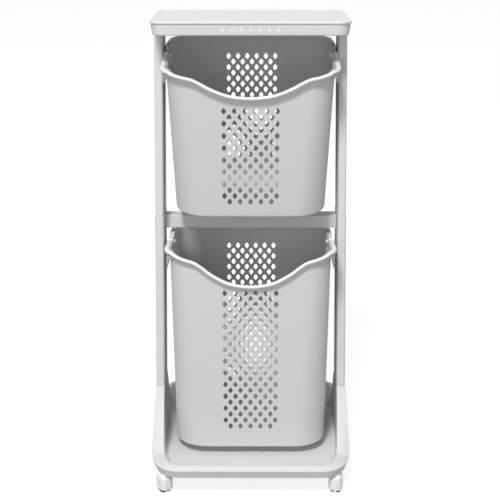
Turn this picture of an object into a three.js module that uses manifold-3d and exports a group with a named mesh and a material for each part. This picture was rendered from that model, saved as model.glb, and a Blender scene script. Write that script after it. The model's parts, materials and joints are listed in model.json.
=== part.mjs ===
// Two-bin laundry hamper on casters: a top tray on two leaning posts, a crossbar, a dished base,
// two perforated baskets with swing handles. Millimetres, +X right, front towards -Y, +Z up.
// The origin lies on the floor under the middle of the base.
import * as THREE from 'three';
import { mergeVertices } from 'three/addons/utils/BufferGeometryUtils.js';
import Module from 'manifold-3d';

const wasm = await Module();
wasm.setup();

// Clearances between pieces, and how far a cutting tool runs past the face that it cuts
const FIT = 0.4;
const SEAT = 0.3;
const OVERRUN = 2;

// The whole frame: its overall sizes, and where the other pieces stand in it
const FRAME = {
  width: 430,
  depth: 416,
  height: 988,
  wall: 2.5,
  postLeanPerMm: 0.0178,
  postsY: 32.5,
  trayStepIn: 15,
  postStepIn: 18.2,
  seamBelowTop: 418,
  upperPivotBelowTop: 79,
  upperFootAboveSeam: 24,
  lowerPivotBelowSeam: 62,
  casterStepIn: 32.5,
};

// Top tray: a dished panel on a skirt with a row of diamond recesses
const TRAY = {
  width: FRAME.width - 2 * FRAME.trayStepIn,
  depth: 276,
  cornerRadius: 28,
  lipHeight: 3.9,
  plate: 2.4,
  border: 6,
  dish: 1.1,
  skirtHeight: 23.6,
  skirtInset: 2.5,
  skirtTaper: 1.4,
  skirtEdge: 4,
  markCount: 7,
  markPitch: 18.4,
  markWidth: 8,
  markHeight: 13.7,
  markDepth: 0.8,
  markDrop: 12,
};

// Posts: oblong tubes joined by tenons
const POST = {
  width: 17.5,
  depth: 85,
  cornerRadius: 4,
  lowerExtra: 0.8,
  topOuterX: FRAME.width / 2 - FRAME.postStepIn,
  seamZ: FRAME.height - FRAME.seamBelowTop,
  footZ: 176,
  tenonLength: 28,
  tenonRoot: 8,
};

const CROSSBAR = {
  height: 28,
  depth: 38,
  belowSeam: 12,
  edge: 3,
  plugLength: 9,
  plugInset: 3,
};

// Base: a shallow dish whose side walls sweep up to carry the posts
const BASE = {
  width: FRAME.width,
  depth: FRAME.depth,
  cornerRadius: 48,
  frontRimZ: 73.5,
  rearRimZ: 92,
  skirtZ: 50,
  floorZ: 66,
  wall: 3,
  frontBand: 17,
  sideBand: 24,
  rearBand: 9,
  edge: 3,
  slopeRun: 15,
};

// Twin-wheel casters; the turns are those in which the four stand at rest
const CASTER = {
  x: FRAME.width / 2 - FRAME.casterStepIn,
  y: FRAME.depth / 2 - FRAME.casterStepIn,
  turnDegrees: { fl: 33, fr: -12, rl: 0, rr: 0 },
  wheelRadius: 16,
  wheelWidth: 10,
  tyreEdge: 1.5,
  tyreDome: 6,
  bodyWidth: 4,
  trail: 4,
  hoodWall: 1.6,
  hoodGap: 1,
  hoodBottomZ: 10,
  hoodRound: 10,
  hoodDome: 7,
  stemRadius: 4,
  stemInBase: 13,
  stemHead: 1.5,
  collarRadius: 7,
  collarHeight: 3,
  axleRadius: 2.2,
};

// Basket sizes that both bins share; y and z are measured in the basket's own frame,
// from the middle of its floor
const BASKET = {
  rimDepth: 311,
  rimRadius: 44,
  floorRadius: 36,
  wall: 2.2,
  floor: 2.6,
  bottomRound: 18,
  sideFlange: 8.5,
  frontFlange: 4.4,
  flangeWall: 2,
  bandDrop: 35,
  frontBand: 8,
  edge: 1,
  frontDraftPerMm: 0.03,
  backDraftPerMm: 0.062,
  pivotY: -28.5,
  ledgeDrop: 8.3,
  besideStrap: 3,
  abovePivot: 8,
  earStart: 12,
  earRun: 14,
  backDrop: 16,
  slotLength: 40,
  slotHeight: 7,
};

// The wave of the front rim and of the handle: how much of the scoop is reached at each share of
// the half width, from the middle outwards
const WAVE_SHARES = [
  [0, 1], [0.19, 0.95], [0.3, 0.87], [0.41, 0.73], [0.52, 0.55],
  [0.6, 0.385], [0.7, 0.22], [0.81, 0.14], [0.91, 0.07], [1, 0],
];

const MESH = {
  frontPitch: 21.5,
  backPitch: 20.8,
  holeWidth: 10,
  holeHeight: 14,
  wideColumns: 6,
};

const HANDLE = {
  strapWidth: 10.2,
  strapHeight: 9,
  barWidth: 6.6,
  barHeight: 6.6,
  wallGap: 1,
  postGap: 0.5,
  frontGap: 1.4,
  eyeRadius: 7.5,
};

const PIN = {
  radius: 2.6,
  headRadius: 4.4,
  headHeight: 1.6,
};

// What differs between the two bins: tilt leans the rim towards the front
const UPPER = {
  name: 'upper',
  pivotHeight: FRAME.seamBelowTop - FRAME.upperPivotBelowTop - FRAME.upperFootAboveSeam,
  pivotWorldY: 6,
  pivotWorldZ: FRAME.height - FRAME.upperPivotBelowTop,
  tiltDegrees: 7.2,
  sideDraftPerMm: 0.036,
  cornerRise: -3.5,
  scoop: 49,
  earRise: 16,
  slotY: 16,
  slotDrop: 26,
  frontField: { drop: 81.5, row: 13.1, rowGrowth: 0, shift: 0 },
  backField: { drop: 47.4, row: 12.5, rowGrowth: 0, shift: 2.4 },
  fieldFoot: 34,
};

const LOWER = {
  name: 'lower',
  pivotHeight: POST.seamZ - FRAME.lowerPivotBelowSeam - BASE.floorZ - SEAT,
  pivotWorldY: 7,
  pivotWorldZ: POST.seamZ - FRAME.lowerPivotBelowSeam,
  tiltDegrees: 0,
  sideDraftPerMm: 0.01,
  cornerRise: 9,
  scoop: 68,
  earRise: 13,
  slotY: -12,
  slotDrop: 16,
  frontField: { drop: 76.2, row: 12.35, rowGrowth: 0.048, shift: 0 },
  backField: { drop: 63.9, row: 12.78, rowGrowth: 0, shift: 1.1 },
  fieldFoot: 48,
};

// Shelves on the posts that carry the upper basket under its side bands
const RAIL = {
  length: 78,
  height: 18,
  shelf: 2.6,
  web: 3,
  pegRadius: 3,
  pegSpread: 44,
  pegDrop: 9,
};

// Where the rings and stations lie, as shares of what they divide
const SWEEP_SHARES = [0.17, 0.34, 0.5, 0.67, 0.84, 1];
const SWEEP_STRAIGHT_SHARE = 0.5;
const SIDE_SHARES = [-0.6, -0.26, -0.15, -0.03, 0.45];
const FRONT_RISE_SHARE = 0.8;
const BEND_SHARES = [0, 0.35, 0.68, 1];
const ARM_SHARES = [0, 0.5];
const SECTION_SHARES = [
  [1, -0.5], [1, 0.5], [0.5, 1], [-0.5, 1], [-1, 0.5], [-1, -0.5], [-0.5, -1], [0.5, -1],
];

const ROUND_STEPS = 4;
const SMALL_ROUND_STEPS = 2;
const ROD_SIDES = 8;
const WHEEL_SIDES = 14;

const COLOURS = {
  panel: 0xe4e4e4,
  frame: 0xd6d6d6,
  basket: 0xcdcdcd,
  handle: 0xf4f4f4,
  hood: 0xeeeeee,
  tyre: 0x1c1c1c,
  steel: 0xb4b6b8,
};

// ---- turning meshes into solids and back

function solid(geometry) {
  const bare = geometry.clone();
  bare.deleteAttribute('normal');
  bare.deleteAttribute('uv');
  const merged = mergeVertices(bare);
  return new wasm.Manifold(new wasm.Mesh({
    numProp: 3,
    vertProperties: new Float32Array(merged.attributes.position.array),
    triVerts: new Uint32Array(merged.index.array),
  }));
}

function geometryOf(body) {
  const mesh = body.getMesh();
  const geometry = new THREE.BufferGeometry();
  geometry.setAttribute('position', new THREE.Float32BufferAttribute(mesh.vertProperties, 3));
  geometry.setIndex(new THREE.Uint32BufferAttribute(mesh.triVerts, 1));
  return geometry;
}

function finished(body) {
  const geometry = geometryOf(body).toNonIndexed();
  geometry.computeVertexNormals();
  return geometry;
}

const group = new THREE.Group();

function addMesh(name, body, colour, roughness = 0.55, metalness = 0) {
  const material = new THREE.MeshStandardMaterial({ color: colour, roughness, metalness });
  const mesh = new THREE.Mesh(finished(body), material);
  mesh.name = name;
  group.add(mesh);
  return mesh;
}

function block(width, depth, height, x, y, z) {
  return solid(new THREE.BoxGeometry(width, depth, height).translate(x, y, z));
}

function rod(radius, length) {
  return new THREE.CylinderGeometry(radius, radius, length, ROD_SIDES);
}

function upright(radius, low, high) {
  return solid(rod(radius, high - low).rotateX(Math.PI / 2).translate(0, 0, (low + high) / 2));
}

// A closed skin through rings of stations. A ring may leave out stations that its neighbour has;
// each point carries its station's place along the ring. The ends are closed by flat caps.
function skin(rings) {
  const positions = rings.flat().flatMap((p) => [p.x, p.y, p.z]);
  const index = [];
  const starts = [];
  let start = 0;
  rings.forEach((ring) => {
    starts.push(start);
    start += ring.length;
  });
  const placeOf = (ring, i) => (i < ring.length ? ring[i].place : Infinity);
  for (let r = 0; r + 1 < rings.length; r += 1) {
    const [low, high] = [rings[r], rings[r + 1]];
    const at = (ring, i) => starts[ring === low ? r : r + 1] + (i % ring.length);
    let i = 0;
    let k = 0;
    while (i < low.length || k < high.length) {
      if (i < low.length && placeOf(low, i + 1) <= placeOf(high, k + 1) || k === high.length) {
        index.push(at(low, i), at(low, i + 1), at(high, k));
        i += 1;
      } else {
        index.push(at(low, i), at(high, k + 1), at(high, k));
        k += 1;
      }
    }
  }
  const capOf = (ring) => {
    const flat = ring.map((p) => new THREE.Vector2(p.x, p.y));
    return THREE.ShapeUtils.triangulateShape(flat, []);
  };
  capOf(rings[0]).forEach(([a, b, c]) => index.push(a, c, b));
  const last = starts.at(-1);
  capOf(rings.at(-1)).forEach(([a, b, c]) => index.push(last + a, last + b, last + c));
  const geometry = new THREE.BufferGeometry();
  geometry.setAttribute('position', new THREE.Float32BufferAttribute(positions, 3));
  geometry.setIndex(index);
  return solid(geometry);
}

function placedPoint(place, x, y, z) {
  return Object.assign(new THREE.Vector3(x, y, z), { place });
}

// ---- oblong outlines

// The stations of an oblong outline, anticlockwise seen from above, from the front left corner:
// each is an angle in a corner or a share of a straight side
function stationsOf(frontShares, sideShares, backShares, arcSteps) {
  const stations = [];
  const corner = (sx, sy, from) => {
    for (let k = 0; k <= arcSteps; k += 1) {
      stations.push({ sx, sy, angle: from + (Math.PI / 2) * (k / arcSteps) });
    }
  };
  const straight = (axis, sign, shares) => {
    shares.forEach((share) => stations.push({ axis, sign, share }));
  };
  corner(-1, -1, Math.PI);
  straight('x', -1, frontShares);
  corner(1, -1, -Math.PI / 2);
  straight('y', 1, sideShares);
  corner(1, 1, 0);
  straight('x', 1, [...backShares].reverse());
  corner(-1, 1, Math.PI / 2);
  straight('y', -1, [...sideShares].reverse());
  return stations.map((station, place) => ({ ...station, place }));
}

// The point of a station on an oblong of the given half sizes and corner radius
function stationPoint(station, halfX, halfY, radius) {
  const { axis, sign, share, sx, sy, angle } = station;
  if (axis === 'x') return new THREE.Vector2(share * (halfX - radius), sign * halfY);
  if (axis === 'y') return new THREE.Vector2(sign * halfX, share * (halfY - radius));
  return new THREE.Vector2(
    sx * (halfX - radius) + radius * Math.cos(angle),
    sy * (halfY - radius) + radius * Math.sin(angle),
  );
}

function oblongRing(halfX, halfY, radius, z, centreY, arcSteps) {
  return stationsOf([], [], [], arcSteps).map((station) => {
    const p = stationPoint(station, halfX, halfY, radius);
    return placedPoint(station.place, p.x, p.y + centreY, z);
  });
}

// An upright oblong prism, whose levels are [z, inset] from its full outline
function oblong(width, depth, radius, centreY, levels, arcSteps = ROUND_STEPS) {
  return skin(levels.map(([z, inset]) => oblongRing(
    width / 2 - inset,
    depth / 2 - inset,
    Math.max(radius - inset, FIT),
    z,
    centreY,
    arcSteps,
  )));
}

// ---- top tray

const trayTop = FRAME.height;
const panelFoot = trayTop - TRAY.lipHeight;
const skirtTop = trayTop - TRAY.plate - TRAY.dish - SEAT;
const skirtFoot = panelFoot - TRAY.skirtHeight;
const skirtWidth = TRAY.width - 2 * TRAY.skirtInset;
const skirtDepth = TRAY.depth - 2 * TRAY.skirtInset;
const skirtRadius = TRAY.cornerRadius - TRAY.skirtInset;
const panelLip = TRAY.skirtInset - SEAT;

function topPanel() {
  const { width, depth, cornerRadius, border, dish, plate } = TRAY;
  const outer = oblong(width, depth, cornerRadius, FRAME.postsY, [
    [panelFoot, panelLip / 2],
    [panelFoot + panelLip, 0],
    [trayTop - panelLip, 0],
    [trayTop, panelLip / 2],
  ]);
  const hollow = oblong(width, depth, cornerRadius, FRAME.postsY, [
    [panelFoot - OVERRUN, panelLip],
    [trayTop - plate - dish, panelLip],
  ]);
  const recess = oblong(width, depth, cornerRadius, FRAME.postsY, [
    [trayTop - dish, border + dish],
    [trayTop + OVERRUN, border - OVERRUN],
  ]);
  return outer.subtract(hollow).subtract(recess);
}

function diamondTool(width, height, reach) {
  const diamond = new THREE.Shape([
    new THREE.Vector2(-width / 2, 0),
    new THREE.Vector2(0, -height / 2),
    new THREE.Vector2(width / 2, 0),
    new THREE.Vector2(0, height / 2),
  ]);
  const tool = new THREE.ExtrudeGeometry(diamond, { depth: reach, bevelEnabled: false });
  return tool.rotateX(Math.PI / 2).translate(0, reach / 2, 0);
}

function topSkirt() {
  const { skirtTaper: taper, skirtEdge: edge, markCount, markPitch, markDepth } = TRAY;
  const outside = oblong(skirtWidth, skirtDepth, skirtRadius, FRAME.postsY, [
    [skirtFoot, taper + edge / 2],
    [skirtFoot + edge, taper],
    [skirtTop, 0],
  ]);
  const inside = oblong(skirtWidth, skirtDepth, skirtRadius, FRAME.postsY, [
    [skirtFoot - OVERRUN, taper + edge / 2 + FRAME.wall],
    [skirtFoot + edge, taper + FRAME.wall],
    [skirtTop + OVERRUN, FRAME.wall],
  ]);
  let body = outside.subtract(inside);
  [-1, 1].forEach((side) => {
    const pad = postTube(side, skirtFoot, skirtTop, -FRAME.wall).intersect(outside);
    const mortise = postTube(side, skirtFoot - OVERRUN, skirtTop + OVERRUN, tenonInset() - FIT);
    body = body.add(pad).subtract(mortise);
  });
  const faceY = FRAME.postsY - skirtDepth / 2 + taper / 2;
  for (let k = 0; k < markCount; k += 1) {
    const tool = diamondTool(TRAY.markWidth, TRAY.markHeight, 2 * (markDepth + taper));
    tool.translate((k - (markCount - 1) / 2) * markPitch, faceY - taper, skirtTop - TRAY.markDrop);
    body = body.subtract(solid(tool));
  }
  return body;
}

// ---- posts

function postOuter(z) {
  return POST.topOuterX + FRAME.postLeanPerMm * (FRAME.height - z);
}

function postInner(z) {
  return postOuter(z) - POST.width;
}

function tenonInset() {
  return FRAME.wall + FIT;
}

// A solid oblong bar along one post's leaning axis, inset from the post's outside
function postTube(side, low, high, inset) {
  const width = POST.width - 2 * inset;
  const depth = POST.depth - 2 * inset;
  const radius = Math.max(POST.cornerRadius - inset, FIT);
  return skin([low, high].map((z) => {
    const x = side * (postOuter(z) - POST.width / 2);
    const outline = oblongRing(width / 2, depth / 2, radius, z, FRAME.postsY, SMALL_ROUND_STEPS);
    return outline.map((p) => placedPoint(p.place, p.x + x, p.y, p.z));
  }));
}

const postBoreInset = tenonInset() + FRAME.wall;
const postFrontY = FRAME.postsY - POST.depth / 2;
const postBackY = FRAME.postsY + POST.depth / 2;

// A tube with the given wall, open at both ends
function postPipe(side, low, high, inset, wall) {
  return postTube(side, low, high, inset)
    .subtract(postTube(side, low - OVERRUN, high + OVERRUN, inset + wall));
}

// The collar fills the wall between a tube and the tenon that is moulded on its end
function tenon(side, root, end) {
  const low = Math.min(root, end);
  const high = Math.max(root, end);
  const seam = root < end ? root + POST.tenonRoot : root - POST.tenonRoot;
  const collar = postPipe(side, Math.min(root, seam), Math.max(root, seam), FRAME.wall / 2, postBoreInset - FRAME.wall / 2);
  return postPipe(side, low, high, tenonInset(), FRAME.wall).add(collar);
}

function upperPost(side) {
  const low = POST.seamZ + SEAT;
  const high = skirtFoot - SEAT;
  let body = postPipe(side, low, high, 0, FRAME.wall)
    .add(tenon(side, high - POST.tenonRoot, skirtTop - FRAME.wall));
  railPegs(side, SEAT).forEach((peg) => {
    body = body.subtract(peg);
  });
  return body;
}

const crossbarTop = POST.seamZ - CROSSBAR.belowSeam;
const crossbarY = postBackY - CROSSBAR.depth / 2;
const crossbarZ = crossbarTop - CROSSBAR.height / 2;

function crossbarPlug(halfLength, grow) {
  const { depth, height, plugInset } = CROSSBAR;
  const inset = 2 * (grow - plugInset);
  return block(2 * halfLength, depth + inset, height + inset, 0, crossbarY, crossbarZ);
}

function lowerPost(side) {
  const low = POST.footZ + SEAT;
  const high = POST.seamZ;
  const window = crossbarPlug(postInner(crossbarZ) + CROSSBAR.plugLength + FIT, FIT);
  return postPipe(side, low, high, -POST.lowerExtra, FRAME.wall + POST.lowerExtra)
    .add(tenon(side, high - POST.tenonRoot, high + POST.tenonLength))
    .add(tenon(side, low + POST.tenonRoot, low - POST.tenonLength))
    .subtract(window);
}

function midCrossbar() {
  const half = postInner(crossbarTop) - POST.lowerExtra - SEAT;
  const { height, depth, edge, plugLength, plugInset } = CROSSBAR;
  const profile = new THREE.Shape();
  profile.moveTo(-depth / 2, -height / 2);
  profile.lineTo(depth / 2, -height / 2);
  profile.lineTo(depth / 2, height / 2 - edge);
  profile.quadraticCurveTo(depth / 2, height / 2, depth / 2 - edge, height / 2);
  profile.lineTo(-depth / 2 + edge, height / 2);
  profile.quadraticCurveTo(-depth / 2, height / 2, -depth / 2, height / 2 - edge);
  const beam = new THREE.ExtrudeGeometry(profile, { depth: 2 * half, bevelEnabled: false, curveSegments: 3 });
  beam.rotateX(Math.PI / 2).rotateZ(Math.PI / 2).translate(-half, crossbarY, crossbarZ);
  const wall = FRAME.wall + plugInset;
  const channel = block(
    2 * (half + plugLength + OVERRUN),
    depth - 2 * wall,
    height,
    0,
    crossbarY,
    crossbarZ - wall,
  );
  return solid(beam).add(crossbarPlug(half + plugLength, 0)).subtract(channel);
}

// ---- base

function smooth(share) {
  const t = Math.min(Math.max(share, 0), 1);
  return t * t * (3 - 2 * t);
}

function mix(from, to, share) {
  return from + (to - from) * share;
}

const baseStraight = BASE.depth / 2 - BASE.cornerRadius;
const baseLean = (BASE.width / 2 - postOuter(POST.footZ) - POST.lowerExtra) / (POST.footZ - BASE.skirtZ);

// Height of the rim along y: a sweep from the low rims up to the posts
function baseRimZ(y) {
  const share = y < postFrontY
    ? (y + baseStraight) / (postFrontY + baseStraight)
    : (baseStraight - y) / (baseStraight - postBackY);
  const t = Math.min(Math.max(share, 0), 1);
  const low = y < postFrontY ? BASE.frontRimZ : BASE.rearRimZ;
  return mix(low, POST.footZ, mix(smooth(t), t, SWEEP_STRAIGHT_SHARE));
}

function baseBand(p, top) {
  const climb = (top - BASE.frontRimZ) / (POST.footZ - BASE.frontRimZ);
  const side = mix(BASE.sideBand, POST.width + 2 * POST.lowerExtra, climb);
  const end = p.y < 0 ? BASE.frontBand : BASE.rearBand;
  return mix(end, side, smooth((Math.abs(p.x) - BASE.width / 2 + BASE.cornerRadius) / BASE.cornerRadius));
}

// Rings round the base, each placed by a rule that gives the inset and the height from the
// rim's height and the width of its band
function baseRings(rules) {
  const front = SWEEP_SHARES.map((share) => mix(-baseStraight, postFrontY, share) / baseStraight);
  const back = SWEEP_SHARES.map((share) => mix(baseStraight, postBackY, share) / baseStraight);
  const stations = stationsOf([], [...front, ...back.reverse()], [], ROUND_STEPS);
  const { width, depth, cornerRadius, edge } = BASE;
  return rules.map((rule) => stations.map((station) => {
    const rim = stationPoint(station, width / 2, depth / 2, cornerRadius);
    const top = baseRimZ(rim.y);
    const [inset, z] = rule(top, baseBand(rim, top));
    const leant = inset + baseLean * (z - BASE.skirtZ);
    const p = stationPoint(station, width / 2 - leant, depth / 2 - inset, Math.max(cornerRadius - inset, edge));
    return placedPoint(station.place, p.x, p.y, z);
  }));
}

function baseTray() {
  const { wall, edge, skirtZ, floorZ, slopeRun } = BASE;
  const outer = skin(baseRings([
    () => [0, skirtZ],
    (top) => [0, top - edge],
    (top) => [edge / 2, top],
    (top, band) => [band - edge / 2, top],
    (top, band) => [band, top - edge / 2],
    (top, band) => [band + slopeRun, floorZ],
  ]));
  const under = skin(baseRings([
    () => [wall, skirtZ - OVERRUN],
    (top) => [wall, top - wall - edge],
    (top, band) => [band - wall, top - wall - edge],
    (top, band) => [band + slopeRun - wall, floorZ - wall],
  ]));
  let body = outer.subtract(under);
  const socketFoot = POST.footZ - POST.tenonLength - FIT;
  [-1, 1].forEach((side) => {
    const socket = postTube(side, socketFoot, POST.footZ, FIT).intersect(outer);
    const bore = postTube(side, socketFoot - OVERRUN, POST.footZ + OVERRUN, tenonInset() - FIT);
    body = body.add(socket).subtract(bore);
  });
  casterPlaces().forEach(({ x, y }) => {
    const boss = upright(CASTER.stemRadius + wall, skirtZ, BASE.frontRimZ).translate(x, y, 0).intersect(outer);
    const bore = upright(CASTER.stemRadius + FIT, skirtZ - OVERRUN, skirtZ + CASTER.stemInBase + FIT)
      .translate(x, y, 0);
    body = body.add(boss).subtract(bore);
  });
  return body;
}

// ---- casters

function casterPlaces() {
  return [['fl', -1, -1], ['fr', 1, -1], ['rl', -1, 1], ['rr', 1, 1]].map(([corner, sx, sy]) => ({
    corner,
    x: sx * CASTER.x,
    y: sy * CASTER.y,
    turn: CASTER.turnDegrees[corner],
  }));
}

const hoodTop = BASE.skirtZ - SEAT - CASTER.collarHeight;
const hoodWidth = CASTER.bodyWidth + 2 * (CASTER.wheelWidth + CASTER.hoodGap + CASTER.hoodWall);

function casterStem() {
  const { stemRadius, stemInBase, stemHead, collarRadius, hoodWall } = CASTER;
  const headTop = hoodTop - hoodWall - SEAT;
  return upright(stemRadius, headTop - stemHead, BASE.skirtZ + stemInBase)
    .add(upright(collarRadius, hoodTop + SEAT, BASE.skirtZ - SEAT))
    .add(upright(stemRadius + stemHead, headTop - stemHead, headTop));
}

function casterHood() {
  const { wheelRadius, bodyWidth, trail, hoodWall, hoodGap, hoodBottomZ, hoodRound, hoodDome } = CASTER;
  const length = 2 * (wheelRadius + hoodGap + hoodWall);
  const outer = oblong(hoodWidth, length, hoodRound, trail, [
    [hoodBottomZ, 0],
    [hoodTop - hoodDome, 0],
    [hoodTop - hoodDome / 3, hoodDome / 3],
    [hoodTop, hoodDome],
  ], SMALL_ROUND_STEPS);
  const inner = oblong(hoodWidth, length, hoodRound, trail, [
    [hoodBottomZ - OVERRUN, hoodWall],
    [hoodTop - hoodDome, hoodWall],
    [hoodTop - hoodWall, hoodWall + hoodDome / 2],
  ], SMALL_ROUND_STEPS);
  const middle = (hoodTop + hoodBottomZ) / 2;
  const web = block(bodyWidth, 2 * (wheelRadius - hoodGap), hoodTop - hoodBottomZ, 0, trail, middle);
  const stemBore = upright(CASTER.stemRadius + FIT, hoodTop - 2 * hoodWall, hoodTop + OVERRUN);
  const headRoom = upright(
    CASTER.stemRadius + CASTER.stemHead + FIT,
    hoodTop - hoodWall - CASTER.stemHead - 2 * SEAT,
    hoodTop - hoodWall,
  );
  return outer.subtract(inner)
    .add(web.intersect(outer))
    .subtract(stemBore)
    .subtract(headRoom)
    .subtract(axleBar(CASTER.axleRadius + SEAT, hoodWidth + OVERRUN));
}

function axleBar(radius, length) {
  return solid(rod(radius, length).rotateZ(Math.PI / 2).translate(0, CASTER.trail, CASTER.wheelRadius));
}

// The tread falls away in a dome towards the outer side
function casterWheel(side) {
  const { wheelRadius, wheelWidth, tyreEdge, tyreDome, bodyWidth, trail, axleRadius } = CASTER;
  const half = (wheelWidth - SEAT) / 2;
  const bend = tyreDome * (1 - Math.SQRT1_2);
  const outline = [
    [axleRadius + SEAT, -half],
    [wheelRadius - tyreEdge, -half],
    [wheelRadius, -half + tyreEdge],
    [wheelRadius, half - tyreDome],
    [wheelRadius - bend, half - bend],
    [wheelRadius - tyreDome, half],
    [axleRadius + SEAT, half],
    [axleRadius + SEAT, -half],
  ].map(([radius, along]) => new THREE.Vector2(radius, along));
  const x = side * (bodyWidth / 2 + SEAT + wheelWidth / 2);
  const wheel = new THREE.LatheGeometry(outline, WHEEL_SIDES).rotateZ((-side * Math.PI) / 2);
  return solid(wheel.translate(x, trail, wheelRadius));
}

// ---- baskets

// The rim's outer width: the straps fill the space between it and the posts
const rimWidth = 2 * (postInner(UPPER.pivotWorldZ) - HANDLE.postGap - HANDLE.strapWidth - HANDLE.wallGap);
const rimStraightX = rimWidth / 2 - BASKET.rimRadius;
const rimStraightY = BASKET.rimDepth / 2 - BASKET.rimRadius;

// How much of the scoop is reached at x across the front
function waveAt(x) {
  const share = Math.min(Math.abs(x) / (rimWidth / 2), 1);
  const next = WAVE_SHARES.findIndex(([place]) => place >= share);
  const [toPlace, toWave] = WAVE_SHARES[next];
  const [fromPlace, fromWave] = WAVE_SHARES[Math.max(next - 1, 0)];
  return mix(toWave, fromWave, (toPlace - share) / Math.max(toPlace - fromPlace, Number.EPSILON));
}

// Height of the front edge, and of the handle that lies along it
function waveZ(x, bin) {
  return bin.pivotHeight + bin.cornerRise - bin.scoop * waveAt(x);
}

// Heights round the rim: the wall's top, and the ledge outside it on which the straps lie. Behind
// the pivots both rise to the ear and fall towards the back.
function rimZ(p, bin) {
  const { pivotY, ledgeDrop, besideStrap, abovePivot, earStart, earRun, backDrop, edge } = BASKET;
  const beside = smooth((Math.abs(p.x) / rimStraightX - FRONT_RISE_SHARE) / (1 - FRONT_RISE_SHARE));
  const along = smooth((p.y + rimStraightY) / (pivotY + rimStraightY));
  const strap = mix(waveZ(p.x, bin), bin.pivotHeight, along);
  const climb = smooth((p.y - pivotY - earStart) / earRun);
  const fall = backDrop * smooth((p.y - pivotY - earStart) / (BASKET.rimDepth / 2 - pivotY - earStart));
  const ear = bin.pivotHeight + bin.earRise - fall;
  const top = mix(strap + beside * mix(besideStrap, abovePivot, along), ear, climb);
  return { top, ledge: mix(mix(top - edge, strap - ledgeDrop, beside), ear - edge, climb) };
}

function wallHalfX(bin, z) {
  return rimWidth / 2 - bin.sideDraftPerMm * (bin.pivotHeight - z);
}

// The front or back wall's place: side is -1 at the front and 1 at the back
function wallY(bin, z, side) {
  const draft = side < 0 ? BASKET.frontDraftPerMm : BASKET.backDraftPerMm;
  return side * (BASKET.rimDepth / 2 - draft * (bin.pivotHeight - z));
}

function basketShell(bin) {
  const { rimDepth, rimRadius, floorRadius, wall, floor, bottomRound } = BASKET;
  const { sideFlange, frontFlange, flangeWall, bandDrop, frontBand, edge } = BASKET;
  const rightShares = WAVE_SHARES.map(([place]) => (place * rimWidth) / 2 / rimStraightX)
    .filter((share) => share < 1);
  const leftShares = rightShares.slice(1).reverse().map((share) => -share);
  const stations = stationsOf([...leftShares, ...rightShares], SIDE_SHARES, [], ROUND_STEPS);
  const outlineAt = (station, z, inset) => {
    const radius = mix(rimRadius, floorRadius, (bin.pivotHeight - z) / bin.pivotHeight);
    const [front, back] = [wallY(bin, z, -1), wallY(bin, z, 1)];
    const p = stationPoint(station, wallHalfX(bin, z) - inset, (back - front) / 2 - inset, Math.max(radius - inset, edge));
    return new THREE.Vector2(p.x, p.y + (front + back) / 2);
  };
  const rimOf = (station) => {
    const p = outlineAt(station, bin.pivotHeight, 0);
    const { top, ledge } = rimZ(p, bin);
    const side = smooth((p.y + rimDepth / 2) / rimRadius);
    const foot = mix(ledge - frontBand, bin.pivotHeight - bandDrop, side);
    return { top, ledge, foot, flange: mix(frontFlange, sideFlange, side) };
  };
  const ringOf = (chosen, rule) => chosen.map((station) => {
    const [inset, z] = rule(rimOf(station));
    const p = outlineAt(station, z, inset);
    return placedPoint(station.place, p.x, p.y, z);
  });
  const corners = stations.filter((station) => !station.axis);
  const bend = (inset, z, radius, share) => [
    inset + radius * (1 - Math.sin((share * Math.PI) / 2)),
    z + radius * (1 - Math.cos((share * Math.PI) / 2)),
  ];
  const rounds = (inset, z, radius) => BEND_SHARES.map((share) => (
    ringOf(corners, () => bend(inset, z, radius, share))
  ));
  const seamZ = bin.pivotHeight + bin.cornerRise - bin.scoop - frontBand - edge;
  return skin([
    ...rounds(0, 0, bottomRound),
    ringOf(corners, () => [0, seamZ]),
    ringOf(stations, ({ ledge }) => [0, ledge - flangeWall]),
    ringOf(stations, ({ ledge, flange }) => [flangeWall - flange, ledge - flangeWall]),
    ringOf(stations, ({ foot, flange }) => [flangeWall - flange, foot]),
    ringOf(stations, ({ foot, flange }) => [-flange, foot]),
    ringOf(stations, ({ ledge, flange }) => [-flange, ledge - edge]),
    ringOf(stations, ({ ledge, flange }) => [edge - flange, ledge]),
    ringOf(stations, ({ ledge }) => [0, ledge]),
    ringOf(stations, ({ top }) => [0, top]),
    ringOf(stations, ({ top }) => [wall, top]),
    ringOf(corners, () => [wall, seamZ]),
    ...rounds(wall, floor, bottomRound - wall).reverse(),
  ]);
}

// The diamonds of the front or back wall: rows that change by turns from wide to narrow, as far
// down as the foot of the field
function meshTools(bin, side) {
  const [field, pitch] = side < 0 ? [bin.frontField, MESH.frontPitch] : [bin.backField, MESH.backPitch];
  const dropOf = (row) => field.drop + row * field.row + row * row * field.rowGrowth;
  const tools = [];
  for (let row = 0; dropOf(row) < bin.pivotHeight - bin.fieldFoot; row += 1) {
    const count = MESH.wideColumns - (row % 2);
    const z = bin.pivotHeight - dropOf(row);
    for (let k = 0; k < count; k += 1) {
      const tool = diamondTool(MESH.holeWidth, MESH.holeHeight, 2 * (BASKET.wall + OVERRUN));
      tool.translate((k - (count - 1) / 2) * pitch + field.shift, wallY(bin, z, side), z);
      tools.push(solid(tool));
    }
  }
  return tools;
}

function crossRod(radius, from, to, y, z) {
  return solid(rod(radius, to - from).rotateZ(Math.PI / 2).translate((from + to) / 2, y, z));
}

const strapX = rimWidth / 2 + HANDLE.wallGap;

function basket(bin) {
  const tools = [...meshTools(bin, -1), ...meshTools(bin, 1)];
  const reach = strapX + HANDLE.strapWidth + OVERRUN;
  const slot = block(
    2 * reach,
    BASKET.slotLength,
    BASKET.slotHeight,
    0,
    BASKET.pivotY + bin.slotY,
    bin.pivotHeight - bin.slotDrop,
  );
  return tools.reduce((rest, tool) => rest.subtract(tool), basketShell(bin))
    .subtract(crossRod(PIN.radius + SEAT, -reach, reach, BASKET.pivotY, bin.pivotHeight))
    .subtract(slot);
}

// ---- handles and their pins

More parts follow.
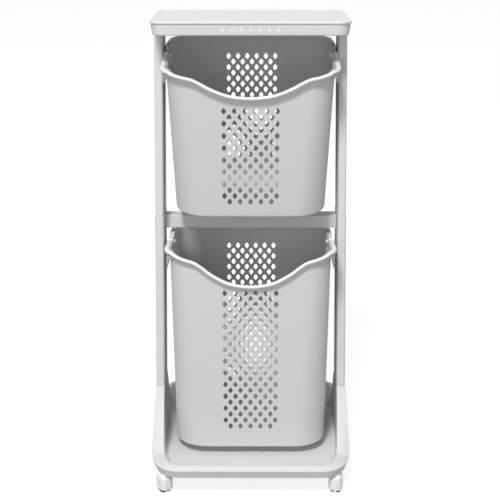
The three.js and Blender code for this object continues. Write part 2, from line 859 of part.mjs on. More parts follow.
// The right half of the handle's path, from the pivot round the corner to the middle of the front.
// Each point carries how far the strap has turned into the bar.
function handleHalf(bin) {
  const armOut = HANDLE.wallGap + HANDLE.strapWidth / 2;
  const barOut = BASKET.frontFlange + HANDLE.frontGap + HANDLE.barWidth / 2;
  const cornerY = wallY(bin, waveZ(rimWidth / 2, bin), -1) + BASKET.rimRadius;
  const points = ARM_SHARES.map((share) => ({
    x: rimWidth / 2 + armOut,
    y: mix(BASKET.pivotY, cornerY, share),
    z: mix(bin.pivotHeight, waveZ(rimWidth / 2, bin), share),
    turned: 0,
  }));
  for (let k = 0; k <= ROUND_STEPS; k += 1) {
    const turned = k / ROUND_STEPS;
    const radius = BASKET.rimRadius + mix(armOut, barOut, turned);
    const x = rimStraightX + radius * Math.cos((Math.PI / 2) * turned);
    const y = cornerY - radius * Math.sin((Math.PI / 2) * turned);
    points.push({ x, y, z: waveZ(x, bin), turned });
  }
  const fronts = WAVE_SHARES.map(([place]) => (place * rimWidth) / 2).filter((x) => x < rimStraightX);
  fronts.reverse().forEach((x) => {
    points.push({ x, y: wallY(bin, waveZ(x, bin), -1) - barOut, z: waveZ(x, bin), turned: 1 });
  });
  return points;
}

function handle(bin) {
  const half = handleHalf(bin);
  const path = [...half, ...half.slice(0, -1).reverse().map((p) => ({ ...p, x: -p.x }))];
  const points = path.map((p) => new THREE.Vector3(p.x, p.y, p.z));
  const { strapWidth, strapHeight, barWidth, barHeight } = HANDLE;
  const up = new THREE.Vector3(0, 0, 1);
  const rings = points.map((p, i) => {
    const ahead = points[Math.min(i + 1, points.length - 1)].clone().sub(points[Math.max(i - 1, 0)]);
    const across = new THREE.Vector3().crossVectors(up, ahead).normalize();
    const rise = new THREE.Vector3().crossVectors(ahead, across).normalize();
    const w = mix(strapWidth, barWidth, path[i].turned) / 2;
    const h = mix(strapHeight, barHeight, path[i].turned) / 2;
    return SECTION_SHARES.map(([a, b]) => p.clone().addScaledVector(across, a * w).addScaledVector(rise, b * h));
  });
  let body = tube(rings);
  [-1, 1].forEach((side) => {
    const [from, to] = [side * strapX, side * (strapX + strapWidth)].sort((a, b) => a - b);
    body = body.add(crossRod(HANDLE.eyeRadius, from, to, BASKET.pivotY, bin.pivotHeight));
  });
  const reach = strapX + strapWidth + OVERRUN;
  return body.subtract(crossRod(PIN.radius + SEAT, -reach, reach, BASKET.pivotY, bin.pivotHeight));
}

// A closed tube through rings of points, with flat ends
function tube(rings) {
  const count = rings[0].length;
  const positions = rings.flat().flatMap((p) => [p.x, p.y, p.z]);
  const index = [];
  for (let r = 0; r + 1 < rings.length; r += 1) {
    for (let i = 0; i < count; i += 1) {
      const a = r * count + i;
      const b = r * count + ((i + 1) % count);
      index.push(a, b, a + count, b, b + count, a + count);
    }
  }
  const last = (rings.length - 1) * count;
  for (let i = 1; i + 1 < count; i += 1) {
    index.push(0, i + 1, i);
    index.push(last, last + i, last + i + 1);
  }
  const geometry = new THREE.BufferGeometry();
  geometry.setAttribute('position', new THREE.Float32BufferAttribute(positions, 3));
  geometry.setIndex(index);
  return solid(geometry);
}

// The pin's head lies against the inside of the wall, and its end is flush with the strap
function handlePin(bin, side) {
  const headFace = wallHalfX(bin, bin.pivotHeight - PIN.headRadius) - BASKET.wall - SEAT;
  const span = (radius, from, to) => {
    const [low, high] = [side * from, side * to].sort((a, b) => a - b);
    return crossRod(radius, low, high, BASKET.pivotY, bin.pivotHeight);
  };
  return span(PIN.radius, headFace - PIN.headHeight, strapX + HANDLE.strapWidth)
    .add(span(PIN.headRadius, headFace - PIN.headHeight, headFace));
}

// ---- placing the bins, and the shelves of the upper one

function binTurn(bin) {
  const turn = new THREE.Matrix4().makeRotationX(THREE.MathUtils.degToRad(bin.tiltDegrees));
  const pivot = new THREE.Vector3(0, BASKET.pivotY, bin.pivotHeight).applyMatrix4(turn);
  return new THREE.Matrix4().makeTranslation(0, bin.pivotWorldY - pivot.y, bin.pivotWorldZ - pivot.z).multiply(turn);
}

function placed(body, bin) {
  return solid(geometryOf(body).applyMatrix4(binTurn(bin)));
}

// The middle of a shelf's top, where the band's foot crosses the middle of the posts
function shelfCentre() {
  const tilt = THREE.MathUtils.degToRad(UPPER.tiltDegrees);
  const z = -BASKET.bandDrop - SEAT;
  const y = (FRAME.postsY - UPPER.pivotWorldY + z * Math.sin(tilt)) / Math.cos(tilt);
  return new THREE.Vector3(0, BASKET.pivotY + y, UPPER.pivotHeight + z);
}

function railPegs(side, grow) {
  const centre = shelfCentre().applyMatrix4(binTurn(UPPER));
  const { web, pegRadius, pegSpread, pegDrop } = RAIL;
  return [-1, 1].map((end) => {
    const y = centre.y + (end * pegSpread) / 2;
    const z = centre.z + (end * pegSpread * Math.tan(THREE.MathUtils.degToRad(UPPER.tiltDegrees))) / 2 - pegDrop;
    const face = postInner(z);
    const [from, to] = [side * (face - web / 2 - grow), side * (face + 2 * FRAME.wall + grow)].sort((a, b) => a - b);
    return crossRod(pegRadius + grow, from, to, y, z);
  });
}

function basketRail(side) {
  const centre = shelfCentre();
  const { length, height, shelf, web } = RAIL;
  const inner = rimWidth / 2 + SEAT;
  const outer = postInner(UPPER.pivotWorldZ) + 2 * FRAME.wall;
  const width = outer - inner;
  const blank = block(width, length, height, side * (inner + width / 2), centre.y, centre.z - height / 2);
  const face = postInner(UPPER.pivotWorldZ) - web;
  const relief = block(face, length + OVERRUN, height, side * (face / 2), centre.y, centre.z - height / 2 - shelf);
  let body = placed(blank.subtract(relief), UPPER)
    .subtract(postTube(side, POST.seamZ, trayTop, -SEAT));
  railPegs(side, 0).forEach((peg) => {
    body = body.add(peg);
  });
  return body;
}

// ---- assembly

const SIDES = [['left', -1], ['right', 1]];

addMesh('top_panel', topPanel(), COLOURS.panel, 0.5);
addMesh('top_skirt', topSkirt(), COLOURS.frame);
SIDES.forEach(([name, side]) => {
  addMesh(`upper_post_${name}`, upperPost(side), COLOURS.frame);
  addMesh(`lower_post_${name}`, lowerPost(side), COLOURS.frame);
  addMesh(`basket_rail_${name}`, basketRail(side), COLOURS.frame);
});
addMesh('mid_crossbar', midCrossbar(), COLOURS.frame);
addMesh('base_tray', baseTray(), COLOURS.frame);
[UPPER, LOWER].forEach((bin) => {
  addMesh(`${bin.name}_basket`, placed(basket(bin), bin), COLOURS.basket);
  addMesh(`${bin.name}_handle`, placed(handle(bin), bin), COLOURS.handle, 0.35);
  SIDES.forEach(([name, side]) => {
    addMesh(`${bin.name}_handle_pin_${name}`, placed(handlePin(bin, side), bin), COLOURS.handle, 0.35);
  });
});
casterPlaces().forEach(({ corner, x, y, turn }) => {
  const at = (body) => body.rotate([0, 0, turn]).translate(x, y, 0);
  addMesh(`caster_${corner}_stem`, at(casterStem()), COLOURS.steel, 0.3, 1);
  addMesh(`caster_${corner}_hood`, at(casterHood()), COLOURS.hood, 0.4);
  addMesh(`caster_${corner}_axle`, at(axleBar(CASTER.axleRadius, hoodWidth - 2 * CASTER.hoodWall)), COLOURS.steel, 0.3, 1);
  addMesh(`caster_${corner}_wheel_inner`, at(casterWheel(-Math.sign(x))), COLOURS.tyre, 0.7);
  addMesh(`caster_${corner}_wheel_outer`, at(casterWheel(Math.sign(x))), COLOURS.tyre, 0.7);
});

export default group;
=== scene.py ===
"""Dresses the two-bin laundry hamper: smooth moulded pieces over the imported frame, plastics and studio."""

import json
import math

import bmesh
import bpy
from mathutils import Matrix, Vector
from mathutils.geometry import delaunay_2d_cdt


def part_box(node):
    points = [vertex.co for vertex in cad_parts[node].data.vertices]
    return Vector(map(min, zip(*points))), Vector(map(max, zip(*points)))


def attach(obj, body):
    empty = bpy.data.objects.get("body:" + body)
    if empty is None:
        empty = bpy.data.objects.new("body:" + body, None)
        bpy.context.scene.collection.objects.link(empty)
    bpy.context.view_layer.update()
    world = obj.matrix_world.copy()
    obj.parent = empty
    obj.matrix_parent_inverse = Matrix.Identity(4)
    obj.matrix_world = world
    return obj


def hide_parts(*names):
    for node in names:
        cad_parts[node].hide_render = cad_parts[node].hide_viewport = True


bl_info = {
    "name": "Laundry hamper with two bins",
    "version": (1, 0, 0),
    "blender": (4, 5, 0),
    "location": "View3D > Sidebar > Hamper",
    "description": "Builds the smooth pieces, the plastics and the studio of a rolling laundry hamper",
    "category": "Add Mesh",
}

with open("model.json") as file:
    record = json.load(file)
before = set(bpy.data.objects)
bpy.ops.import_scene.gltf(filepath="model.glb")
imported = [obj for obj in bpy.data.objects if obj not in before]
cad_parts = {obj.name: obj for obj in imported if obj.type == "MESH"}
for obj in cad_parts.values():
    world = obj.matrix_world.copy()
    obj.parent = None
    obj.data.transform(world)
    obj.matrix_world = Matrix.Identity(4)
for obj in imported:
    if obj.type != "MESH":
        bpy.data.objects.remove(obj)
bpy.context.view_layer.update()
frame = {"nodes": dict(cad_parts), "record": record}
MM = 0.001
SIDES = (("left", -1), ("right", 1))
CASTERS = (("fl", -1), ("fr", 1), ("rl", -1), ("rr", 1))

# How much of the front scoop is reached at each share of the half width, from the middle outwards
WAVE = ((0, 1), (0.19, 0.95), (0.3, 0.87), (0.41, 0.73), (0.52, 0.55), (0.6, 0.385), (0.7, 0.22),
        (0.81, 0.14), (0.91, 0.07), (1, 0))


# Sizes and colours

def length(name, description, default):
    """A length in metres"""
    return bpy.props.FloatProperty(name=name, description=description, default=default, unit="LENGTH",
                                   precision=4)


def colour(name, description, default):
    """A colour of three shares"""
    return bpy.props.FloatVectorProperty(name=name, description=description, default=default,
                                         subtype="COLOR", size=3, min=0, max=1)


def share(name, description, default):
    """A share from 0 to 1"""
    return bpy.props.FloatProperty(name=name, description=description, default=default, min=0, max=1,
                                   subtype="FACTOR")


def draft(name, description, default):
    """A slope: so much across for each unit of height"""
    return bpy.props.FloatProperty(name=name, description=description, default=default, precision=4)


class HamperFrameSizes(bpy.types.PropertyGroup):
    """Tray, posts, crossbar and base"""
    height: length("Height", "Floor to the top of the tray", 988 * MM)
    posts_y: length("Post middle", "How far behind the base's middle the posts and the tray stand", 32.5 * MM)
    tray_width: length("Tray width", "Tray from side to side", 400 * MM)
    tray_depth: length("Tray depth", "Tray from front to back", 276 * MM)
    tray_radius: length("Tray corner", "Corner radius of the tray", 28 * MM)
    lip: length("Lip", "Height of the tray's edge above the skirt", 3.9 * MM)
    skirt: length("Skirt", "Height of the skirt under the lip", 23.6 * MM)
    post_width: length("Post width", "Width of a post seen from the front", 17.5 * MM)
    post_depth: length("Post depth", "Depth of a post", 85 * MM)
    post_outer: length("Post spread", "Outer face of a post at the tray's height", 196.8 * MM)
    post_lean: draft("Lean", "How far a post leans out per unit of height", 0.0178)
    seam: length("Post seam", "Height of the seam between upper and lower posts", 570 * MM)
    foot: length("Post foot", "Height of the seam between lower posts and base", 176 * MM)
    base_width: length("Base width", "Base from side to side", 430 * MM)
    base_depth: length("Base depth", "Base from front to back", 416 * MM)
    base_radius: length("Base corner", "Corner radius of the base", 60 * MM)
    corner_reach: length("Front corner", "How much further the base's front corners reach back than across",
                         24 * MM)
    front_rim: length("Front rim", "Height of the base's front rim", 73.5 * MM)
    rear_rim: length("Rear rim", "Height of the base's rear rim", 97 * MM)
    base_skirt: length("Base skirt", "Height of the base's lower edge", 47.4 * MM)
    base_floor: length("Base floor", "Height of the base's floor", 52.2 * MM)
    platform: length("Platform", "Height of the platform that the lower basket stands on", 65.9 * MM)
    mark_pitch: length("Mark pitch", "Distance between the diamonds on the tray's skirt", 18.4 * MM)


class HamperBinSizes(bpy.types.PropertyGroup):
    """What both baskets and their handles share"""
    rim_width: length("Rim width", "Basket wall from side to side at the rim", 338.01 * MM)
    rim_depth: length("Rim depth", "Basket wall from front to back at the rim", 311 * MM)
    rim_radius: length("Rim corner", "Corner radius at the rim", 44 * MM)
    floor_radius: length("Floor corner", "Corner radius at the floor", 68 * MM)
    wall: length("Wall", "Thickness of the basket's wall", 2.2 * MM)
    side_flange: length("Side ledge", "How far the ledge stands out at sides and back", 8.5 * MM)
    front_flange: length("Front ledge", "How far the ledge stands out at the front", 4.4 * MM)
    ledge_wall: length("Ledge wall", "Thickness of the ledge and its band", 2 * MM)
    band_drop: length("Band", "How far the side band reaches below the pivots", 35 * MM)
    front_band: length("Front band", "Height of the band at the front", 6 * MM)
    front_draft: draft("Front draft", "Draw-in of the front wall per unit of height", 0.03)
    back_draft: draft("Back draft", "Draw-in of the back wall per unit of height", 0.062)
    pivot_y: length("Pivot", "Where the handle pivots lie, front to back in the basket", -28.5 * MM)
    hole_width: length("Hole width", "Width of a diamond hole", 10 * MM)
    hole_height: length("Hole height", "Height of a diamond hole", 14 * MM)
    front_pitch: length("Front pitch", "Distance between the front wall's holes across", 21.5 * MM)
    back_pitch: length("Back pitch", "Distance between the back wall's holes across", 20.8 * MM)
    strap_width: length("Strap width", "Width of the handle's side straps", 10.2 * MM)
    strap_height: length("Strap height", "Height of the handle's side straps", 9 * MM)
    strap_gap: length("Strap gap", "Space between basket wall and strap", 1 * MM)
    bar: length("Bar", "Thickness of the handle's front bar", 6.6 * MM)
    bar_gap: length("Bar gap", "Space between the front ledge and the bar", 1.4 * MM)
    eye: length("Eye", "Radius of the handle's eyes", 7.5 * MM)
    slot_length: length("Slot length", "Length of the slot through each side band", 40 * MM)
    slot_height: length("Slot height", "Height of the slot through each side band", 7 * MM)


class HamperCasterSizes(bpy.types.PropertyGroup):
    """One caster"""
    wheel: length("Wheel radius", "Radius of a wheel", 16 * MM)
    tread: length("Wheel width", "Width of a wheel", 9.7 * MM)
    body: length("Middle", "Width of the web between the wheels", 4 * MM)
    trail: length("Trail", "How far the axle lies behind the stem", 4 * MM)
    hood_width: length("Hood width", "Hood from side to side", 29.2 * MM)
    hood_length: length("Hood length", "Hood from front to back", 37.2 * MM)
    hood_foot: length("Hood foot", "Height of the hood's lower edge", 11 * MM)
    hood_top: length("Hood top", "Height of the hood's top", 46.7 * MM)


class HamperFinishes(bpy.types.PropertyGroup):
    """Colours of the plastics, and how grained they are"""
    panel: colour("Tray top", "Colour of the tray's top", (0.68, 0.68, 0.68))
    frame_grey: colour("Frame", "Colour of skirt, posts, crossbar and base", (0.64, 0.64, 0.64))
    basket_grey: colour("Baskets", "Colour of the baskets", (0.57, 0.57, 0.57))
    white: colour("White plastic", "Colour of handles, pins and caster hoods", (0.90, 0.90, 0.90))
    tyre: colour("Tyres", "Colour of the caster wheels", (0.016, 0.016, 0.017))
    steel: colour("Steel", "Colour of stems and axles", (0.60, 0.60, 0.61))
    grain: share("Grain", "Strength of the moulded grain", 0.12)


# What differs between the two bins, in millimetres and degrees. A slot is how far it lies behind and below
# the pivots. A field of holes is its first row's drop below the pivots, the step to the next row, the step's
# growth, its shift sideways and where it ends above the floor.
BINS = {
    "upper": {"pivot_height": 315, "pivot": (0, 6, 909), "tilt": 7.2, "side_draft": 0.036,
              "corner_rise": -3.5, "scoop": 49, "ear_rise": 16, "foot_round": 7, "foot_step": 0,
              "slot": (16, 26), "front": (81.5, 13.1, 0, 0, 34), "back": (47.4, 12.5, 0, 2.4, 34)},
    "lower": {"pivot_height": 441.7, "pivot": (0, 7, 508), "tilt": 0, "side_draft": 0.01,
              "corner_rise": 9, "scoop": 68, "ear_rise": 13, "foot_round": 4, "foot_step": 5,
              "slot": (-12, 16), "front": (76.2, 12.35, 0.048, 0, 48), "back": (63.9, 12.78, 0, 1.1, 48)},
}


# Shader expressions

class Sock:
    """One shader socket; arithmetic on it adds Math nodes"""

    def __init__(self, finish, socket):
        self.finish = finish
        self.socket = socket

    def _math(self, operation, a, b):
        return self.finish.node("ShaderNodeMath", {"operation": operation}, {0: a, 1: b})

    def __add__(self, other):
        return self._math("ADD", self, other)

    __radd__ = __add__

    def __sub__(self, other):
        return self._math("SUBTRACT", self, other)

    def __rsub__(self, other):
        return self._math("SUBTRACT", other, self)

    def __mul__(self, other):
        return self._math("MULTIPLY", self, other)

    __rmul__ = __mul__

    def clamp(self, low=0.0, high=1.0):
        return self.finish.node("ShaderNodeClamp", {}, {"Value": self, "Min": low, "Max": high})


class Finish:
    """The nodes of a material or of the world, added one call at a time"""

    def __init__(self, owner):
        self.owner = owner
        owner.use_nodes = True
        self.nodes = owner.node_tree.nodes
        self.links = owner.node_tree.links
        self.nodes.clear()

    def node(self, kind, settings, values, output=0):
        """Adds a node, its settings first and then the numbers or links of its sockets"""
        made = self.nodes.new(kind)
        for key, value in settings.items():
            setattr(made, key, value)
        for key, value in values.items():
            if isinstance(value, Sock):
                self.links.new(value.socket, made.inputs[key])
            else:
                made.inputs[key].default_value = value
        return Sock(self, made.outputs[output]) if made.outputs else None

    def place(self):
        return self.node("ShaderNodeTexCoord", {}, {}, "Object")

    def stretched(self, where, scale):
        return self.node("ShaderNodeMapping", {}, {"Vector": where, "Scale": scale})

    def noise(self, where, scale, detail=2.0, rough=0.5):
        return self.node("ShaderNodeTexNoise", {}, {
            "Vector": where, "Scale": scale, "Detail": detail, "Roughness": rough}, "Fac")

    def blend(self, mask, low, high):
        """A colour between two, each of three shares"""
        return self.node("ShaderNodeMix", {"data_type": "RGBA"}, {0: mask, 6: (*low, 1), 7: (*high, 1)}, 2)

    def shade(self, base, mask):
        """The base colour between a darker and a lighter tone"""
        return self.blend(mask, [c * 0.965 for c in base], [min(c * 1.03, 1) for c in base])

    def bump(self, strength, depth, height):
        return self.node("ShaderNodeBump", {}, {"Strength": strength, "Distance": depth, "Height": height})

    def principled(self, values):
        return self.node("ShaderNodeBsdfPrincipled", {}, values)

    def seen(self):
        """1 for what the camera, a reflection or a clear piece sees directly, 0 for light on the object"""
        camera, glossy, clear = (self.node("ShaderNodeLightPath", {}, {}, f"Is {ray} Ray")
                                 for ray in ("Camera", "Glossy", "Transmission"))
        return (camera + glossy + clear).clamp()

    def surface(self, shader, output="ShaderNodeOutputMaterial"):
        self.node(output, {}, {"Surface": shader})
        return self.owner


def moulded_plastic(name, base, roughness, grain, coat, pattern):
    """Moulded plastic: a slow change of tone, flow marks, fine grain and handling scuffs"""
    f = Finish(bpy.data.materials.new(name))
    where = f.place()
    cloudy = f.noise(where, 9.0, 3.0)
    flow = f.noise(f.stretched(where, (4.0, 4.0, 0.6)), 30.0)
    scuff = f.noise(where, 140.0, 4.0, 0.7)
    dull = ((scuff - 0.55) * 1.2).clamp(0.0, 0.2)
    fine = f.noise(where, pattern)
    wide = f.noise(where, pattern / 7)
    return f.surface(f.principled({
        "Base Color": f.shade(base, (cloudy * 0.7 + flow * 0.3).clamp()),
        "Roughness": (dull + (cloudy - 0.5) * 0.06 + roughness).clamp(0.1, 1.0),
        "IOR": 1.48,
        "Coat Weight": coat,
        "Coat Roughness": 0.2,
        "Normal": f.bump(grain, 0.2 * MM, fine * 0.7 + wide * 0.3),
    }))


def tyre_rubber(name, base):
    """Black rubber with a little pale dust"""
    f = Finish(bpy.data.materials.new(name))
    where = f.place()
    dust = f.noise(where, 160.0, 4.0, 0.65)
    return f.surface(f.principled({
        "Base Color": f.blend((dust - 0.35).clamp(), base, [c * 2.2 + 0.01 for c in base]),
        "Roughness": (dust * 0.3 + 0.45).clamp(),
        "Normal": f.bump(0.3, 0.2 * MM, f.noise(where, 1800.0)),
    }))


def plated_steel(name, base):
    """Plated steel with fine turning marks"""
    f = Finish(bpy.data.materials.new(name))
    turned = f.noise(f.stretched(f.place(), (6.0, 6.0, 60.0)), 60.0, 3.0)
    return f.surface(f.principled({
        "Base Color": f.shade(base, turned),
        "Metallic": 1.0,
        "Roughness": (turned * 0.2 + 0.22).clamp(),
        "Normal": f.bump(0.15, 0.1 * MM, turned),
    }))


def finish_for(name):
    """The finish of that name, made at its first use"""
    look = bpy.context.scene.hamper_finishes
    if name in bpy.data.materials:
        return bpy.data.materials[name]
    if name == "wheel_tyre":
        return tyre_rubber(name, look.tyre)
    if name == "steel":
        return plated_steel(name, look.steel)
    # Each plastic's colour, roughness, share of the grain, coat and fineness of the grain
    base, roughness, grained, coat, pattern = {
        "panel_plastic": (look.panel, 0.42, 1, 0, 1400),
        "frame_plastic": (look.frame_grey, 0.44, 1, 0, 1400),
        "basket_plastic": (look.basket_grey, 0.46, 1.3, 0, 1100),
        "handle_plastic": (look.white, 0.3, 0.4, 0.15, 1400),
        "hood_plastic": (look.white, 0.28, 0.4, 0.2, 1400),
        "mark_plastic": ([c * 0.93 for c in look.white], 0.36, 0.5, 0, 1400),
    }[name]
    return moulded_plastic(name, base, roughness, look.grain * grained, coat, pattern)


# Mesh making

def mix(a, b, t):
    return a + (b - a) * t


def limited(t):
    return min(max(t, 0), 1)


def smooth(t):
    """0 to 1 with a soft start and a soft end"""
    t = limited(t)
    return t * t * (3 - 2 * t)


def inner_shares(count):
    """Places along a straight from -1 to 1, without its two ends"""
    return [k / count * 2 - 1 for k in range(1, count)]


def mesh_object(name, verts, faces, matrix=None, outwards=False):
    """An object from points and faces, moved by the matrix"""
    mesh = bpy.data.meshes.new(name)
    mesh.from_pydata([tuple(v) for v in verts], [], faces)
    mesh.validate()
    if outwards:
        form = bmesh.new()
        form.from_mesh(mesh)
        bmesh.ops.recalc_face_normals(form, faces=form.faces)
        form.to_mesh(mesh)
        form.free()
    if matrix is not None:
        mesh.transform(matrix)
    made = bpy.data.objects.new(name, mesh)
    bpy.context.collection.objects.link(made)
    return made


def keep_modified(piece):
    """Puts the shape that the modifiers give into the piece's mesh"""
    graph = bpy.context.evaluated_depsgraph_get()
    built = bpy.data.meshes.new_from_object(piece.evaluated_get(graph))
    piece.modifiers.clear()
    piece.data = built


def keep_edges(piece, angle):
    """Marks sharp edges, and keeps flat faces flat to the light right up to their rounded edges"""
    piece.data.set_sharp_from_angle(angle=math.radians(angle))
    piece.modifiers.new("even_normals", "WEIGHTED_NORMAL").keep_sharp = True


def finish_piece(name, verts, faces, material, body, nodes=(), thickness=0.0, bevel=0.0, matrix=None,
                 sharp=35):
    """A named mesh from points and faces, given its wall, softened edges, finish and body"""
    piece = mesh_object(name, verts, faces, matrix, outwards=not thickness)
    if thickness:
        wall = piece.modifiers.new("wall", "SOLIDIFY")
        wall.thickness = thickness
        wall.offset = -1
        wall.use_even_offset = True
    if bevel:
        edge = piece.modifiers.new("edge", "BEVEL")
        edge.width = bevel
        edge.segments = 1
        edge.limit_method = "ANGLE"
        edge.angle_limit = math.radians(50)
        edge.use_clamp_overlap = False
    if thickness or bevel:
        keep_modified(piece)
    piece.data.materials.clear()
    piece.data.materials.append(finish_for(material))
    piece.data.shade_smooth()
    keep_edges(piece, sharp)
    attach(piece, body)
    if nodes:
        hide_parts(*nodes)
    "handle_plastic" if material == "mark_plastic" else material
    return piece


def grid_faces(columns, rows, skip=lambda c, r: False):
    """Quads over a ring of columns of points, numbered column by column"""
    faces = []
    for c in range(columns):
        for r in range(rows - 1):
            if not skip(c, r):
                a, b = c * rows + r, ((c + 1) % columns) * rows + r
                faces.append((a, b, b + 1, a + 1))
    return faces


def stacked_faces(sides, loops):
    """Quads between loops of points, numbered loop by loop"""
    return [(i + k, i + (k + 1) % sides, i + sides + (k + 1) % sides, i + sides + k)
            for i in range(0, (loops - 1) * sides, sides) for k in range(sides)]


def seam_faces(columns, rows):
    """The last strip of quads that closes a ring's profile"""
    return [(c * rows, ((c + 1) % columns) * rows, ((c + 1) % columns) * rows + rows - 1, c * rows + rows - 1)
            for c in range(columns)]


def capped(columns, rows):
    """Quads round a closed loft, with both ends closed"""
    low = [c * rows for c in range(columns)][::-1]
    high = [c * rows + rows - 1 for c in range(columns)]
    return grid_faces(columns, rows) + [low, high]


def oblong_stations(front=(), sides=(), back=(), arc=10):
    """Stations round an oblong, anticlockwise from the front left corner"""
    out = []

    def corner(sx, sy, start):
        out.extend(("arc", sx, sy, start + math.pi / 2 * k / arc) for k in range(arc + 1))

    corner(-1, -1, math.pi)
    out.extend(("x", -1, s) for s in front)
    corner(1, -1, -math.pi / 2)
    out.extend(("y", 1, s) for s in sides)
    corner(1, 1, 0)
    out.extend(("x", 1, s) for s in reversed(back))
    corner(-1, 1, math.pi / 2)
    out.extend(("y", -1, s) for s in reversed(sides))
    return out


def station_at(station, half_x, half_y, radius):
    """Where a station lies on an oblong of that size"""
    if station[0] == "x":
        return station[2] * (half_x - radius), station[1] * half_y
    if station[0] == "y":
        return station[1] * half_x, station[2] * (half_y - radius)
    _, sx, sy, angle = station
    return (sx * (half_x - radius) + radius * math.cos(angle),
            sy * (half_y - radius) + radius * math.sin(angle))


def rounded_profile(corners, steps=4):
    """A profile through corners (inset, z, radius), each rounded by its radius"""
    out = []
    for i, (u, z, r) in enumerate(corners):
        if r <= 0 or i in (0, len(corners) - 1):
            out.append((u, z))
            continue
        here = Vector((u, z))
        a = Vector(corners[i - 1][:2]) - here
        b = Vector(corners[i + 1][:2]) - here
        reach = min(r, a.length * 0.45, b.length * 0.45)
        start, end = here + a.normalized() * reach, here + b.normalized() * reach
        for k in range(steps + 1):
            t = k / steps
            p = start * (1 - t) ** 2 + here * (2 * t * (1 - t)) + end * t ** 2
            out.append((p.x, p.y))
    return out


def ring_loft(stations, half_x, half_y, radius, profile, centre=(0, 0), lean=None):
    """Points of a loft: each station carries the same profile of (inset, z)"""
    verts = []
    for s in stations:
        for inset, z in profile:
            x, y = station_at(s, half_x - inset, half_y - inset, max(radius - inset, 0.1 * MM))
            verts.append(Vector((x + centre[0] + (lean(z) if lean else 0), y + centre[1], z)))
    return verts


def add_lathe(verts, faces, profile, sides, centre, axis, closed=False):
    """Adds a lathe of (radius, along) points about an axis through centre; closed joins the profile's ends"""
    start, rows = len(verts), len(profile)
    for k in range(sides):
        a = 2 * math.pi * k / sides
        for r, along in profile:
            u, v = r * math.cos(a), r * math.sin(a)
            verts.append(Vector(centre) + Vector((along, u, v) if axis == "x" else (u, v, along)))
    strips = grid_faces(sides, rows) + (seam_faces(sides, rows) if closed else [])
    faces.extend([start + i for i in face] for face in strips)


# Baskets and handles

def wave_at(place):
    """The wave as a smooth curve through its shares"""
    place = min(abs(place), 1.0)
    i = max(k for k, (p, _) in enumerate(WAVE) if p <= place) if place > 0 else 0
    i = min(i, len(WAVE) - 2)

    def slope(k):
        if k in (0, len(WAVE) - 1):
            return 0.0
        return (WAVE[k + 1][1] - WAVE[k - 1][1]) / (WAVE[k + 1][0] - WAVE[k - 1][0])

    (p0, w0), (p1, w1) = WAVE[i], WAVE[i + 1]
    h = p1 - p0
    t = (place - p0) / h
    return ((2 * t ** 3 - 3 * t ** 2 + 1) * w0 + (t ** 3 - 2 * t ** 2 + t) * h * slope(i)
            + (3 * t ** 2 - 2 * t ** 3) * w1 + (t ** 3 - t ** 2) * h * slope(i + 1))


